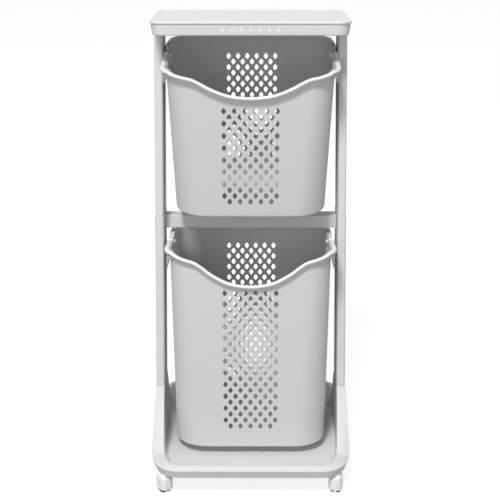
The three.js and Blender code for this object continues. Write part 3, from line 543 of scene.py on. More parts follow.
class Bin:
    """The shape of one basket in its own frame, from the middle of its floor"""

    def __init__(self, name):
        self.s = bpy.context.scene.hamper_bin_sizes
        self.raw = BINS[name]
        self.pivot_height = self.raw["pivot_height"] * MM
        self.foot_round = self.raw["foot_round"] * MM
        self.foot_step = self.raw["foot_step"] * MM
        self.straight_x = self.s.rim_width / 2 - self.s.rim_radius
        self.straight_y = self.s.rim_depth / 2 - self.s.rim_radius

    def half_x(self, z):
        """Half the wall's width at a height"""
        return self.s.rim_width / 2 - self.raw["side_draft"] * (self.pivot_height - z)

    def wall_y(self, z, side):
        """Where the front or back wall lies at a height"""
        slope = self.s.front_draft if side < 0 else self.s.back_draft
        return side * (self.s.rim_depth / 2 - slope * (self.pivot_height - z))

    def point(self, station, z, inset):
        """A place on the wall, drawn in by inset"""
        front, back = self.wall_y(z, -1), self.wall_y(z, 1)
        radius = mix(self.s.rim_radius, self.s.floor_radius, (self.pivot_height - z) / self.pivot_height)
        x, y = station_at(station, self.half_x(z) - inset, (back - front) / 2 - inset,
                          max(radius - inset, 0.5 * MM))
        return Vector((x, y + (front + back) / 2, z))

    def wave_z(self, x):
        """The height of the waved front edge"""
        fall = self.raw["scoop"] * wave_at(x / (self.s.rim_width / 2))
        return self.pivot_height + (self.raw["corner_rise"] - fall) * MM

    def rim(self, station):
        """Heights of the wall's top, of the ledge outside it and of the band's foot, and the ledge's width"""
        s, pivot = self.s, self.pivot_height
        p = self.point(station, pivot, 0)
        turned = (p.y + s.rim_depth / 2) / s.rim_radius
        beside = smooth((turned - 0.22) / 0.4)
        along = smooth((p.y + self.straight_y) / (s.pivot_y + self.straight_y))
        strap = mix(self.wave_z(p.x), pivot, along)
        behind, run, fall, seat = 12 * MM, 14 * MM, 16 * MM, 8.3 * MM
        past = p.y - s.pivot_y - behind
        climb = smooth(past / run)
        ear = pivot + self.raw["ear_rise"] * MM - fall * smooth(past / (s.rim_depth / 2 - s.pivot_y - behind))
        top = mix(strap + beside * mix(3 * MM, 8 * MM, along), ear, climb)
        ledge = mix(mix(top - 1 * MM, strap - seat, beside), ear - 1 * MM, climb)
        side = smooth(turned * 1.2 - 0.2)
        deep = smooth(turned * 2.2 - 1.2)
        return (top, ledge, mix(ledge - s.front_band, pivot - s.band_drop, deep),
                mix(s.front_flange, s.side_flange, side))

    def matrix(self):
        """From the basket's own frame to the hamper's"""
        turn = Matrix.Rotation(math.radians(self.raw["tilt"]), 4, "X")
        pivot = turn @ Vector((0, self.s.pivot_y, self.pivot_height))
        return Matrix.Translation(Vector(self.raw["pivot"]) * MM - pivot) @ turn

    def hole_centres(self, side):
        """The holes of the front or back field, in rows of six and five"""
        first, step, growth, shift, foot = self.raw["front" if side < 0 else "back"]
        pitch = self.s.front_pitch if side < 0 else self.s.back_pitch
        row, drop = 0, first
        while drop * MM < self.pivot_height - foot * MM:
            count = 6 - row % 2
            yield from (((k - (count - 1) / 2) * pitch + shift * MM, self.pivot_height - drop * MM)
                        for k in range(count))
            row += 1
            drop = first + row * step + row * row * growth


def squared(angle, power, width, height):
    """A point on an oval that is the squarer, the higher its power"""
    c, n = math.cos(angle), math.sin(angle)
    return (math.copysign(abs(c) ** (2 / power), c) * width / 2,
            math.copysign(abs(n) ** (2 / power), n) * height / 2)


def diamond(width, height, points=16, power=1.35):
    """A diamond with rounded corners, anticlockwise"""
    return [squared(2 * math.pi * k / points, power, width, height) for k in range(points)]


def pierced(outline, holes):
    """Index triples of a flat outline's triangles round its holes, which stay open"""
    (left, low), (right, high) = (map(pick, zip(*outline)) for pick in (min, max))

    def barrel(p):
        """Bows straight runs outwards a little, so that points in line on them all get their triangles"""
        u, v = 2 * (p[0] - left) / (right - left) - 1, 2 * (p[1] - low) / (high - low) - 1
        return Vector((p[0] + 0.1 * MM * u * (1 - v * v), p[1] + 0.1 * MM * v * (1 - u * u)))

    outline, holes = [barrel(p) for p in outline], [[barrel(p) for p in hole] for hole in holes]
    points, edges = [], []
    for loop in (outline, *holes):
        start, count = len(points), len(loop)
        points.extend(loop)
        edges.extend((start + i, start + (i + 1) % count) for i in range(count))
    flat, _, faces, sources, _, _ = delaunay_2d_cdt(points, edges, [], 0, 1e-7, True)
    index = [source[0] if source else -1 for source in sources]
    nothing = Vector((0, 0))
    centres = [sum(hole, nothing) / len(hole) for hole in holes]
    out = []
    for face in faces:
        ids = [index[i] for i in face]
        middle = sum((flat[i] for i in face), nothing) / len(face)
        if -1 in ids or not inside(outline, middle):
            continue
        if not any((middle - c).length < 12 * MM and inside(hole, middle) for c, hole in zip(centres, holes)):
            out.append(ids)
    return out


def inside(loop, p):
    """Whether a point lies within a closed loop"""
    hit = False
    for i in range(len(loop)):
        (x0, y0), (x1, y1) = loop[i - 1], loop[i]
        if (y0 > p[1]) != (y1 > p[1]) and p[0] < (x1 - x0) * (p[1] - y0) / (y1 - y0) + x0:
            hit = not hit
    return hit


# Steps along a basket's front, each side and its back, and round each corner
WIDE, DEEP, REAR, ARC = 44, 30, 6, 12


def bin_stations():
    """Close stations along the waved front, the stepped sides and the corners"""
    return oblong_stations(inner_shares(WIDE), inner_shares(DEEP), inner_shares(REAR), ARC)


def basket_wall(b):
    """The outer skin of one basket: floor, rounded foot and walls up to the rim, pierced at front and back"""
    s, levels, foot_steps, foot_edge = b.s, 14, 7, 13 * MM
    stations = bin_stations()
    foot = [(b.foot_round * (1 - math.sin(t)), b.foot_step + b.foot_round * (1 - math.cos(t)))
            for t in (math.pi / 2 * k / foot_steps for k in range(foot_steps + 1))]
    if b.foot_step:
        foot = [(b.foot_round + b.foot_step + foot_edge, 0), (b.foot_round + foot_edge, b.foot_step)] + foot
    rows = len(foot) + levels
    verts = []
    for st in stations:
        top = b.rim(st)[0]
        verts += [b.point(st, z, inset) for inset, z in foot]
        verts += [b.point(st, mix(b.foot_step + b.foot_round, top, k / levels), 0)
                  for k in range(1, levels + 1)]
    back_start = ARC + WIDE + ARC + DEEP + ARC
    flats = ((ARC, ARC + WIDE, -1), (back_start, back_start + REAR, 1))
    k0, k1 = len(foot) - 1, rows - 1
    faces = grid_faces(len(stations), rows, lambda c, r: r >= k0 and any(c0 <= c < c1 for c0, c1, _ in flats))
    faces.append([c * rows for c in range(len(stations))][::-1])
    shape = diamond(s.hole_width, s.hole_height)
    for c0, c1, side in flats:
        loop = [c * rows + k0 for c in range(c0, c1 + 1)]
        loop += [c1 * rows + k for k in range(k0 + 1, k1)]
        loop += [c * rows + k1 for c in range(c1, c0 - 1, -1)]
        loop += [c0 * rows + k for k in range(k1 - 1, k0, -1)]
        outline = [(side * -verts[i].x, verts[i].z) for i in loop]
        holes = [[(side * -x + dx, z + dz) for dx, dz in shape] for x, z in b.hole_centres(side)]
        for x, z in (point for hole in holes for point in hole):
            loop.append(len(verts))
            verts.append(Vector((side * -x, b.wall_y(z, side), z)))
        faces.extend([loop[i] for i in face] for face in pierced(outline, holes))
    return verts, faces


def basket_ledge(b):
    """The ledge outside the wall, with its turned-down band, as one closed ring"""
    thick = b.s.ledge_wall
    verts = []
    stations = bin_stations()
    for st in stations:
        _, ledge, foot, flange = b.rim(st)
        profile = rounded_profile([
            (0.8 * MM, ledge, 0), (-flange, ledge, 2.4 * MM), (-flange, foot, 1.4 * MM),
            (thick - flange, foot, 0.8 * MM), (thick - flange, ledge - thick, 1.2 * MM),
            (0.8 * MM, ledge - thick, 0)])
        verts += [b.point(st, z, inset) for inset, z in profile]
    rows = len(profile)
    return verts, grid_faces(len(stations), rows) + seam_faces(len(stations), rows)


def slotted(piece, b):
    """Cuts the narrow slot through both side bands"""
    s = b.s
    back, drop = b.raw["slot"]
    reach = s.rim_width / 2 + s.side_flange + 4 * MM
    y0, z0 = s.pivot_y + back * MM, b.pivot_height - drop * MM
    end, straight = s.slot_height / 2, (s.slot_length - s.slot_height) / 2
    loop = []
    for k in range(16):
        a = 2 * math.pi * k / 16
        along = straight if math.cos(a) > 0 else -straight
        loop.append((y0 + along + end * math.cos(a), z0 + end * math.sin(a)))
    verts = [(x, y, z) for x in (-reach, reach) for y, z in loop]
    n = len(loop)
    faces = [list(range(n))[::-1], [n + i for i in range(n)]]
    faces += [(i, (i + 1) % n, n + (i + 1) % n, n + i) for i in range(n)]
    tool = mesh_object("slot_tool", verts, faces, b.matrix())
    cut = piece.modifiers.new("slot", "BOOLEAN")
    cut.operation = "DIFFERENCE"
    cut.object = tool
    cut.solver = "EXACT"
    keep_modified(piece)
    bpy.data.objects.remove(tool)
    keep_edges(piece, 35)


def handle_path(b):
    """Points of the handle's middle from pivot to pivot, and how far the strap has turned into the bar"""
    s = b.s
    half_rim = s.rim_width / 2
    arm_out = s.strap_gap + s.strap_width / 2
    bar_out = s.front_flange + s.bar_gap + s.bar / 2
    corner_z = b.wave_z(half_rim)
    corner_y = b.wall_y(corner_z, -1) + s.rim_radius
    arm_steps, corner_steps, bar_steps = 16, 24, 48
    half = []
    for k in range(arm_steps):
        t = k / arm_steps
        half.append((half_rim + arm_out, mix(s.pivot_y, corner_y, t), mix(b.pivot_height, corner_z, t), 0.0))
    for k in range(corner_steps + 1):
        t = k / corner_steps
        radius = s.rim_radius + mix(arm_out, bar_out, t)
        x = b.straight_x + radius * math.cos(math.pi / 2 * t)
        y = corner_y - radius * math.sin(math.pi / 2 * t)
        half.append((x, y, b.wave_z(x), smooth(t * 2.2 - 0.2)))
    for k in range(1, bar_steps + 1):
        x = b.straight_x * (1 - k / bar_steps)
        half.append((x, b.wall_y(b.wave_z(x), -1) - bar_out, b.wave_z(x), 1.0))
    path = half + [(-x, y, z, t) for x, y, z, t in reversed(half[:-1])]
    return [Vector(p[:3]) for p in path], [p[3] for p in path]


def handle_mesh(b):
    """The strap at each side, turning into the round bar at the front, and the eyes on the pins"""
    s, sides = b.s, 20
    points, turn = handle_path(b)
    verts = []
    for i, p in enumerate(points):
        ahead = points[min(i + 1, len(points) - 1)] - points[max(i - 1, 0)]
        across = Vector((0, 0, 1)).cross(ahead).normalized()
        rise = ahead.cross(across).normalized()
        width, height = mix(s.strap_width, s.bar, turn[i]), mix(s.strap_height, s.bar, turn[i])
        for k in range(sides):
            u, v = squared(2 * math.pi * (k + 0.5) / sides, mix(4.0, 2.1, turn[i]), width, height)
            verts.append(p + across * u + rise * v)
    faces = stacked_faces(sides, len(points))
    faces += [list(range(sides)), [(len(points) - 1) * sides + k for k in range(sides)]]
    inner = s.rim_width / 2 + s.strap_gap
    for side in (-1, 1):
        profile = [(r, side * along) for r, along in rounded_profile([
            (0, inner, 0), (s.eye, inner, 1.2 * MM), (s.eye, inner + s.strap_width, 1.2 * MM),
            (0, inner + s.strap_width, 0)])]
        add_lathe(verts, faces, profile, 32, (0, s.pivot_y, b.pivot_height), "x")
    return verts, faces


def build_pin(b, name, side_name, side):
    """The pin that carries the handle, with its domed head inside the basket"""
    s = b.s
    face = b.half_x(b.pivot_height) - s.wall
    tip = s.rim_width / 2 + s.strap_gap + s.strap_width
    head, pin, dome = 4.4 * MM, 2.6 * MM, 3.2 * MM
    profile = [(r, side * along) for r, along in rounded_profile([
        (0, face - dome, 0), (head, face - dome, 3.6 * MM), (head, face - 0.1 * MM, 0.3 * MM),
        (pin, face - 0.1 * MM, 0), (pin, tip, 0.5 * MM), (0, tip, 0)], 5)]
    verts, faces = [], []
    add_lathe(verts, faces, profile, 28, (0, s.pivot_y, b.pivot_height), "x")
    finish_piece(f"{name}_pin_{side_name}_head", verts, faces, "handle_plastic", f"{name}_bin",
                 (f"{name}_handle_pin_{side_name}",), matrix=b.matrix(), sharp=50)


def build_bin(name):
    """One basket with its ledge and slots, its handle and the handle's pins"""
    b = Bin(name)
    body, place = f"{name}_bin", b.matrix()
    basket = finish_piece(f"{name}_basket_shell", *basket_wall(b), "basket_plastic", body,
                          (f"{name}_basket",), thickness=b.s.wall, bevel=0.35 * MM, matrix=place)
    ledge = finish_piece(f"{name}_basket_ledge", *basket_ledge(b), "basket_plastic", body, matrix=place)
    slotted(basket, b)
    slotted(ledge, b)
    finish_piece(f"{name}_handle_bail", *handle_mesh(b), "handle_plastic", f"{name}_bail",
                 (f"{name}_handle",), matrix=place, sharp=50)
    for side_name, side in SIDES:
        build_pin(b, name, side_name, side)


# Frame pieces

def post_outer(s, z):
    """How far out a post's outer face lies at a height"""
    return s.post_outer + s.post_lean * (s.height - z)


def post_loft(s, stations, profile, side, extra=0.0):
    """Points round a post that leans with the frame"""
    return ring_loft(stations, s.post_width / 2 + extra, s.post_depth / 2 + extra, 4 * MM + extra, profile,
                     (0, s.posts_y), lambda z: side * (post_outer(s, z) - s.post_width / 2))


def build_posts():
    """The tubes above and below each seam; the lower ones are a little thicker"""
    s = bpy.context.scene.hamper_frame_sizes
    skirt_foot = s.height - s.lip - s.skirt
    gap, soft, tube = 0.3 * MM, 0.7 * MM, 2.2 * MM
    stations = oblong_stations(arc=6)
    for name, side in SIDES:
        for part, low, high, extra in (("upper", s.seam + gap, skirt_foot - gap, 0.0),
                                       ("lower", s.foot + gap, s.seam, 0.8 * MM)):
            profile = [(tube, low), (soft, low), (soft * 0.3, low + soft * 0.3), (0, low + soft),
                       (0, mix(low, high, 0.5)), (0, high - soft), (soft * 0.3, high - soft * 0.3),
                       (soft, high), (tube, high)]
            finish_piece(f"{part}_post_{name}_tube", post_loft(s, stations, profile, side, extra),
                         capped(len(stations), len(profile)), "frame_plastic", "frame",
                         (f"{part}_post_{name}",))


def build_crossbar():
    """The beam between the lower posts, open below"""
    s = bpy.context.scene.hamper_frame_sizes
    (_, front, foot), (_, back, top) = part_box("mid_crossbar")
    half = post_outer(s, (foot + top) / 2) - s.post_width - 1.1 * MM
    wall, crease = 5 * MM, foot + 8 * MM
    loop = rounded_profile([
        (back, crease, 0), (back, top, 3 * MM), (front, top, 3.2 * MM), (front, foot, 1.5 * MM),
        (front + wall, foot, 0.8 * MM), (front + wall, top - wall, 1 * MM), (back - wall, top - wall, 1 * MM),
        (back - wall, foot, 0.8 * MM), (back, foot, 1 * MM), (back, crease, 0)])[:-1]
    verts = [(x, y, z) for y, z in loop for x in (-half, half)]
    faces = grid_faces(len(loop), 2)
    faces.append([2 * i for i in range(len(loop))][::-1])
    faces.append([2 * i + 1 for i in range(len(loop))])
    finish_piece("mid_crossbar_beam", verts, faces, "frame_plastic", "frame", ("mid_crossbar",))


def build_tray():
    """The tray's plate with its low lip, and the skirt under it"""
    s = bpy.context.scene.hamper_frame_sizes
    stations = oblong_stations(arc=14)
    foot, sunk, inner = s.height - s.lip, s.height - 1.1 * MM, 2.2 * MM
    under = s.height - 3.5 * MM
    profile = rounded_profile([
        (40 * MM, under, 0), (inner, under, 0.4 * MM), (inner, foot, 0.2 * MM), (0, foot, 0.7 * MM),
        (0, s.height, 2.6 * MM), (5.6 * MM, s.height, 1.6 * MM), (7.1 * MM, sunk, 1.6 * MM),
        (40 * MM, sunk, 0)], 6)
    verts = ring_loft(stations, s.tray_width / 2, s.tray_depth / 2, s.tray_radius, profile, (0, s.posts_y))
    finish_piece("top_panel_plate", verts, capped(len(stations), len(profile)), "panel_plastic", "frame",
                 ("top_panel",))
    build_skirt(s)


def build_skirt(s):
    """The skirt with its row of diamond recesses and their inlays"""
    inset, taper, wall, recess, arc, steps = 2.5 * MM, 2.6 * MM, 2.5 * MM, 0.7 * MM, 14, 12
    low, top = s.height - s.lip - s.skirt, s.height - 3.8 * MM
    half_y = s.tray_depth / 2 - inset
    stations = oblong_stations(inner_shares(steps), arc=arc)
    profile = rounded_profile([
        (wall, top, 0), (wall, top - 3 * MM, 0), (taper + wall, low + 4 * MM, 1 * MM),
        (taper + wall + 1 * MM, low, 0.5 * MM), (taper + 1.2 * MM, low, 1 * MM),
        (taper, low + 2.4 * MM, 1.2 * MM), (0, top, 0)])
    verts = ring_loft(stations, s.tray_width / 2 - inset, half_y, s.tray_radius - inset, profile,
                      (0, s.posts_y))
    rows = len(profile)
    face_low, face_high = profile[-2:]
    faces = grid_faces(len(stations), rows, lambda c, r: r == rows - 2 and arc <= c < arc + steps)
    faces += seam_faces(len(stations), rows)
    loop = [c * rows + rows - 2 for c in range(arc, arc + steps + 1)]
    loop += [c * rows + rows - 1 for c in range(arc + steps, arc - 1, -1)]
    outline = [(verts[i].x, verts[i].z) for i in loop]

    def face_y(z):
        t = (z - face_low[1]) / (face_high[1] - face_low[1])
        return s.posts_y - half_y + mix(face_low[0], face_high[0], t)

    holes = []
    for k in range(7):
        x, z = (k - 3) * s.mark_pitch, top - 12 * MM
        hole = [(x + dx, z + dz) for dx, dz in diamond(8 * MM, 13.7 * MM, 20, 1.5)]
        start, n = len(verts), len(hole)
        verts += [Vector((hx, face_y(hz) + sunk, hz)) for sunk in (0, recess) for hx, hz in hole]
        faces += [(start + i, start + (i + 1) % n, start + n + (i + 1) % n, start + n + i) for i in range(n)]
        faces.append([start + n + i for i in range(n)])
        holes.append(hole)
        loop += [start + i for i in range(n)]
        inlay(k, x, z, face_y, recess)
    faces += [[loop[i] for i in face] for face in pierced(outline, holes)]
    finish_piece("top_skirt_ring", verts, faces, "frame_plastic", "frame", ("top_skirt",))


def inlay(k, x, z, face_y, recess):
    """A pale lozenge that lies in one recess, a little below the skirt's face"""
    verts, sides = [], 20
    for width, height, out in ((7.2, 12.7, 0.05), (7.2, 12.7, 0.75), (6.4, 11.7, 0.95), (3.0, 5.6, 1.0)):
        for dx, dz in diamond(width * MM, height * MM, sides, 1.5):
            verts.append((x + dx, face_y(z + dz) + recess * (1 - 0.55 * out), z + dz))
    last = len(verts) - sides
    faces = stacked_faces(sides, len(verts) // sides)
    faces += [[last + i for i in range(sides)], list(range(sides))[::-1]]
    finish_piece(f"skirt_lozenge_{k + 1}", verts, faces, "mark_plastic", "frame")


def base_outline(s, station, inset):
    """The base's outline drawn in by inset; its front corners reach further back than across"""
    radius = s.base_radius
    x, y = station_at(station, s.base_width / 2 - inset, s.base_depth / 2 - inset,
                      max(radius - inset, 1 * MM))
    round_by = limited((abs(x) + inset - s.base_width / 2 + radius) / radius)
    near = limited((y + 40 * MM) / (radius - s.base_depth / 2 + 40 * MM))
    return x, y + s.corner_reach * (1 - math.sqrt(1 - round_by ** 2)) * near


def base_reaches(s):
    """Where the base's straight sides end, and where the posts' front and back lie on them"""
    return s.base_depth / 2 - s.base_radius, s.posts_y - s.post_depth / 2, s.posts_y + s.post_depth / 2


def base_rim(s, y):
    """The rim's height, which climbs to the posts"""
    straight, front, back = base_reaches(s)
    t = limited((y + straight) / (front + straight) if y < front else (straight - y) / (straight - back))
    low = s.front_rim if y < front else s.rear_rim
    return mix(low, s.foot, mix(smooth(t), t, 0.5))


def base_band(s, x, y, top):
    """How wide the rim's top is"""
    slim = s.post_width + 1.6 * MM
    end, side = 9 * MM, slim
    if y < 0:
        end, side = 17 * MM, mix(27 * MM, slim, (top - s.front_rim) / (s.foot - s.front_rim))
    return mix(end, side, smooth((abs(x) - s.base_width / 2 + s.base_radius) / s.base_radius))


def base_profile(s, x, y):
    """The base's section at a place on its outline: shell, tucked-in skirt, sloping rim and floor"""
    top = base_rim(s, y)
    band = base_band(s, x, y, top)
    low, slope = (s.front_rim, 12 * MM) if y < 0 else (s.rear_rim, 17 * MM)
    climb = limited((top - low) / (s.foot - low))
    floor_in = band + mix(slope, 3 * MM, smooth(climb * 3))
    brow = top - mix(7 * MM, 1.5 * MM, smooth(climb * 1.5))
    crease = min(s.base_skirt + 19 * MM, brow - 0.6 * MM)
    wall, tuck, middle = 2.6 * MM, 7 * MM, 60 * MM
    return rounded_profile([
        (middle, s.base_floor - wall, 0), (floor_in - wall, s.base_floor - wall, 3 * MM),
        (band - wall, top - 5 * MM, 1 * MM), (band * 0.6, top - 5 * MM, 1 * MM),
        (wall, brow - 6 * MM, 1 * MM), (wall, min(crease, brow - 7 * MM), 0),
        (wall + tuck, s.base_skirt, 0.4 * MM), (tuck, s.base_skirt, 0.5 * MM), (0, crease, 1.6 * MM),
        (0, brow, 1.6 * MM), (band * 0.5, top, 6 * MM), (band, top, 2.4 * MM),
        (floor_in, s.base_floor, 5 * MM), (middle, s.base_floor, 0)], 5)


def build_base():
    """The dished base with its walls swept up to the posts, its platform, sockets and bosses"""
    s = bpy.context.scene.hamper_frame_sizes
    straight, front, back = base_reaches(s)
    ys = [mix(-straight, front, k / 18) for k in range(1, 19)]
    ys += [mix(back, straight, k / 14) for k in range(14)]
    stations = oblong_stations((), [y / straight for y in ys], (), 16)
    lean = (s.base_width / 2 - post_outer(s, s.foot) - 0.8 * MM) / (s.foot - s.base_skirt)
    verts = []
    for st in stations:
        profile = base_profile(s, *base_outline(s, st, 0))
        for inset, z in profile:
            x, y = base_outline(s, st, inset)
            verts.append((x - math.copysign(lean * (z - s.base_skirt), x), y, z))
    finish_piece("base_tray_dish", verts, capped(len(stations), len(profile)), "frame_plastic", "frame",
                 ("base_tray",), sharp=30)
    build_platform(s)
    build_sockets(s)


def build_platform(s):
    """The raised platform in the dish, smaller all round than the lower basket's foot"""
    b = Bin("lower")
    front, back = ((b.matrix() @ Vector((0, b.wall_y(0, side), 0))).y for side in (-1, 1))
    smaller = 38 * MM
    profile = rounded_profile([(0, s.base_floor - 1.5 * MM, 0), (0, s.platform, 1.5 * MM),
                               (12 * MM, s.platform, 0)])
    stations = oblong_stations(arc=10)
    verts = ring_loft(stations, b.half_x(0) - smaller, (back - front) / 2 - smaller, 34 * MM, profile,
                      (0, (front + back) / 2))
    finish_piece("base_platform", verts, capped(len(stations), len(profile)), "frame_plastic", "frame")


def build_sockets(s):
    """Post sockets and caster bosses on the base's underside"""
    stations = oblong_stations(arc=4)
    low, high = s.foot - 28.4 * MM, s.foot - 4 * MM
    inner, outer, soft = 2.9 * MM, 0.4 * MM, 0.4 * MM
    profile = [(inner, high), (inner, low), (outer + soft, low), (outer, low + 0.6 * MM), (outer, high)]
    faces = grid_faces(len(stations), len(profile)) + seam_faces(len(stations), len(profile))
    for name, side in SIDES:
        finish_piece(f"base_socket_{name}", post_loft(s, stations, profile, side), faces, "frame_plastic",
                     "frame")
    bore, boss, end, top = 4.4 * MM, 7 * MM, 50 * MM, 62 * MM
    profile = [(bore, top), (bore, end), (boss - soft, end), (boss, end + 0.5 * MM), (boss, top + 0.5 * MM)]
    for corner, _ in CASTERS:
        verts, faces = [], []
        add_lathe(verts, faces, profile, 24, (*caster_centre(corner), 0), "z", closed=True)
        finish_piece(f"base_boss_{corner}", verts, faces, "frame_plastic", "frame")


# Casters

def caster_centre(corner):
    """Where a caster's stem stands"""
    low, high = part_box(f"caster_{corner}_stem")
    return (low[0] + high[0]) / 2, (low[1] + high[1]) / 2


def caster_matrix(corner):
    """From a caster's own frame, with its stem at the origin and its wheels trailing along +y"""
    joints = {joint["name"]: joint for joint in frame["record"]["behaviour"]["joints"]}
    roll = joints[f"caster_{corner}_roll_inner"]
    turn = math.atan2(roll["axis"][1], roll["axis"][0])
    return Matrix.Translation((*caster_centre(corner), 0)) @ Matrix.Rotation(turn, 4, "Z")


def build_casters():
    """The hood over each pair of wheels, with the web between them, and the wheels"""
    s = bpy.context.scene.hamper_caster_sizes
    wall, foot, top, crown = 1.6 * MM, s.hood_foot, s.hood_top, 13.5 * MM
    stations = oblong_stations(arc=9)
    shell = rounded_profile([
        (crown, top - wall, 0), (7.5 * MM, top - wall, 3 * MM), (wall, top - 9 * MM, 4 * MM),
        (wall, foot, 0.4 * MM), (0, foot, 0.8 * MM), (0, top - 9 * MM, 8 * MM), (6.5 * MM, top, 6 * MM),
        (crown, top, 0)], 6)
    reach = s.wheel - 1 * MM
    web = rounded_profile([
        (0, top - 2 * MM, 0), (-reach, top - 8 * MM, 4 * MM), (-reach, foot, 2 * MM), (reach, foot, 2 * MM),
        (reach, top - 8 * MM, 4 * MM), (0, top - 2 * MM, 0)], 3)[:-1]
    for corner, side in CASTERS:
        place = caster_matrix(corner)
        verts = ring_loft(stations, s.hood_width / 2, s.hood_length / 2, 11.5 * MM, shell, (0, s.trail))
        faces = capped(len(stations), len(shell))
        start = len(verts)
        verts += [Vector((x, s.trail + y, z)) for y, z in web for x in (-s.body / 2, s.body / 2)]
        faces += [[start + i for i in face] for face in grid_faces(len(web), 2)]
        faces += [[start + 2 * i + face for i in range(len(web))] for face in (0, 1)]
        finish_piece(f"caster_{corner}_cover", verts, faces, "hood_plastic", f"caster_{corner}_fork",
                     (f"caster_{corner}_hood",), matrix=place)
        build_wheel(s, corner, "inner", -side, place)
        build_wheel(s, corner, "outer", side, place)


def build_wheel(s, corner, name, side, place):
    """A wheel whose tread falls away in a dome towards the outside, with a sunk disc on either face"""
    r, near = s.wheel, s.body / 2 + 0.4 * MM
    far, bore, disc = near + s.tread, 2.5 * MM, 8.5 * MM
    corners = [(bore, near + 1 * MM, 0), (disc, near + 1 * MM, 0.8 * MM), (disc + 1 * MM, near, 0.8 * MM),
               (r, near, 2 * MM), (r, far - 5 * MM, 3 * MM), (r - 2.2 * MM, far - 1.6 * MM, 3 * MM),
               (r - 6 * MM, far, 2 * MM), (disc, far, 0.8 * MM), (disc - 1 * MM, far - 0.9 * MM, 0.8 * MM),
               (bore, far - 0.9 * MM, 0)]
    profile = [(radius, side * along) for radius, along in rounded_profile(corners)]
    verts, faces = [], []
    add_lathe(verts, faces, profile, 48, (0, s.trail, r), "x", closed=True)
    finish_piece(f"caster_{corner}_tyre_{name}", verts, faces, "wheel_tyre", f"caster_{corner}_roller_{name}",
                 (f"caster_{corner}_wheel_{name}",), matrix=place)


def dress_nodes():
    """Finishes and softened edges for the frame's own pieces that stay"""
    slots = {part["node"]: part["material_slot"] for part in frame["record"]["subparts"]}
    for name, node in frame["nodes"].items():
        node.data.materials.clear()
        node.data.materials.append(finish_for(slots[name]))
        if name.startswith("basket_rail"):
            edge = node.modifiers.new("edge", "BEVEL")
            edge.width = 0.6 * MM
            edge.segments = 2
            edge.limit_method = "ANGLE"


# Studio

def floor_material():
    """A pale floor: white where the camera and reflections meet it, apart from the object's soft shadow"""
    f = Finish(bpy.data.materials.new("studio_floor"))
    tone = f.blend(f.noise(f.place(), 3.0), (0.97, 0.97, 0.97), (1, 1, 1))
    seen = f.node("ShaderNodeMixShader", {}, {
        0: 0.4,
        1: f.node("ShaderNodeEmission", {}, {"Color": (1, 1, 1, 1), "Strength": 1.36}),
        2: f.node("ShaderNodeBsdfDiffuse", {}, {"Color": tone})})
    unseen = f.node("ShaderNodeBsdfDiffuse", {}, {"Color": (0.4, 0.4, 0.4, 1)})
    return f.surface(f.node("ShaderNodeMixShader", {}, {0: f.seen(), 1: unseen, 2: seen}))


def light_world(world):
    """White where it is seen directly, and a weaker even light on the object"""
    f = Finish(world)
    on_object = 0.385
    sky = f.node("ShaderNodeBackground", {}, {
        "Color": (1, 1, 1, 1), "Strength": f.seen() * (1 - on_object) + on_object})
    f.surface(sky, "ShaderNodeOutputWorld")


def lamp(name, place, size, power):
    """A round soft lamp that points at the middle of the hamper"""
    data = bpy.data.lights.new(name, "AREA")
    data.shape = "DISK"
    data.size = size
    data.energy = power
    light = bpy.data.objects.new(name, data)
    light.location = place
    light.rotation_euler = (Vector((0, 0, 0.55)) - Vector(place)).to_track_quat("-Z", "Y").to_euler()
    bpy.context.scene.collection.objects.link(light)


def build_stage():
    """The floor, the world, the two lamps and the camera, fitted to the outlines of the hamper"""
    scene = bpy.context.scene
    r = 30
    floor = mesh_object("studio_floor", [(-r, -r, 0), (r, -r, 0), (r, r, 0), (-r, r, 0)], [(0, 1, 2, 3)])
    floor.data.materials.append(floor_material())
    scene.world = scene.world or bpy.data.worlds.new("studio")
    light_world(scene.world)
    lamp("key_light", (-0.85, -3.73, 5.12), 1.1, 250)
    lamp("front_light", (-0.7, -4.1, 1.1), 2.0, 22)
    camera = bpy.data.objects.new("photo_camera", bpy.data.cameras.new("photo_camera"))
    camera.data.lens = 79.2
    camera.data.sensor_width = 36
    camera.data.clip_end = 100
    camera.location = (5.0 * MM, -2282.1 * MM, 1198.0 * MM)
    camera.rotation_euler = (math.radians(90 - 17.228), 0, 0.0028)
    scene.collection.objects.link(camera)
    scene.camera = camera
    scene.view_settings.view_transform = "Standard"


# Operators and panel

class HAMPER_OT_dress_nodes(bpy.types.Operator):
    """Gives every carried-over piece its finish"""
    bl_idname = "hamper.dress_nodes"
    bl_label = "Frame's own pieces"

    def execute(self, context):
        dress_nodes()
        return {"FINISHED"}


class HAMPER_OT_build_tray(bpy.types.Operator):
    """Builds the tray top, its skirt and the lozenges"""
    bl_idname = "hamper.build_tray"
    bl_label = "Tray"

    def execute(self, context):
        build_tray()
        return {"FINISHED"}


class HAMPER_OT_build_posts(bpy.types.Operator):
    """Builds the four leaning posts"""
    bl_idname = "hamper.build_posts"
    bl_label = "Posts"

    def execute(self, context):
        build_posts()
        return {"FINISHED"}


class HAMPER_OT_build_crossbar(bpy.types.Operator):
    """Builds the beam between the posts"""
    bl_idname = "hamper.build_crossbar"
    bl_label = "Crossbar"

    def execute(self, context):
        build_crossbar()
        return {"FINISHED"}


class HAMPER_OT_build_base(bpy.types.Operator):
    """Builds the dished base with its platform and sockets"""
    bl_idname = "hamper.build_base"
    bl_label = "Base"

    def execute(self, context):
        build_base()
        return {"FINISHED"}


class HAMPER_OT_build_upper_bin(bpy.types.Operator):
    """Builds the upper basket, its handle and pins"""
    bl_idname = "hamper.build_upper_bin"
    bl_label = "Upper bin"

    def execute(self, context):
        build_bin("upper")
        return {"FINISHED"}


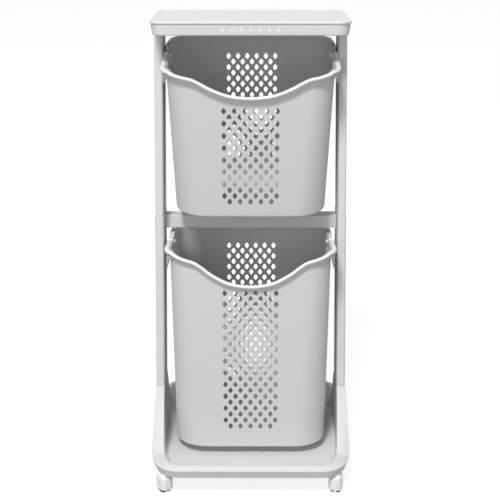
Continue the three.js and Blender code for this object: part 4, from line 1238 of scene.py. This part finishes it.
class HAMPER_OT_build_lower_bin(bpy.types.Operator):
    """Builds the lower basket, its handle and pins"""
    bl_idname = "hamper.build_lower_bin"
    bl_label = "Lower bin"

    def execute(self, context):
        build_bin("lower")
        return {"FINISHED"}


class HAMPER_OT_build_casters(bpy.types.Operator):
    """Builds the hoods and wheels"""
    bl_idname = "hamper.build_casters"
    bl_label = "Casters"

    def execute(self, context):
        build_casters()
        return {"FINISHED"}


class HAMPER_OT_build_stage(bpy.types.Operator):
    """Builds the floor, the lamps and the camera"""
    bl_idname = "hamper.build_stage"
    bl_label = "Studio"

    def execute(self, context):
        build_stage()
        return {"FINISHED"}


OPERATORS = (
    HAMPER_OT_dress_nodes, HAMPER_OT_build_tray, HAMPER_OT_build_posts, HAMPER_OT_build_crossbar,
    HAMPER_OT_build_base, HAMPER_OT_build_upper_bin, HAMPER_OT_build_lower_bin, HAMPER_OT_build_casters,
    HAMPER_OT_build_stage,
)


class HAMPER_PT_panel(bpy.types.Panel):
    """Lists the hamper's pieces, sizes and finishes"""
    bl_label = "Laundry hamper"
    bl_idname = "HAMPER_PT_panel"
    bl_space_type = "VIEW_3D"
    bl_region_type = "UI"
    bl_category = "Hamper"

    def draw(self, context):
        layout = self.layout
        for attribute in GROUPS:
            group = getattr(context.scene, attribute)
            box = layout.box()
            for name in group.__annotations__:
                box.prop(group, name)
        for made in OPERATORS:
            layout.operator(made.bl_idname)


GROUPS = {"hamper_frame_sizes": HamperFrameSizes, "hamper_bin_sizes": HamperBinSizes,
          "hamper_caster_sizes": HamperCasterSizes, "hamper_finishes": HamperFinishes}


def register():
    for cls in (*GROUPS.values(), *OPERATORS, HAMPER_PT_panel):
        bpy.utils.register_class(cls)
    for attribute, group in GROUPS.items():
        setattr(bpy.types.Scene, attribute, bpy.props.PointerProperty(type=group))


def unregister():
    for attribute in GROUPS:
        delattr(bpy.types.Scene, attribute)
    for cls in (HAMPER_PT_panel, *reversed(OPERATORS), *reversed(GROUPS.values())):
        bpy.utils.unregister_class(cls)


def main():
    register()
    for made in OPERATORS:
        group, name = made.bl_idname.split(".")
        getattr(getattr(bpy.ops, group), name)()


if __name__ == "__main__":
    main()
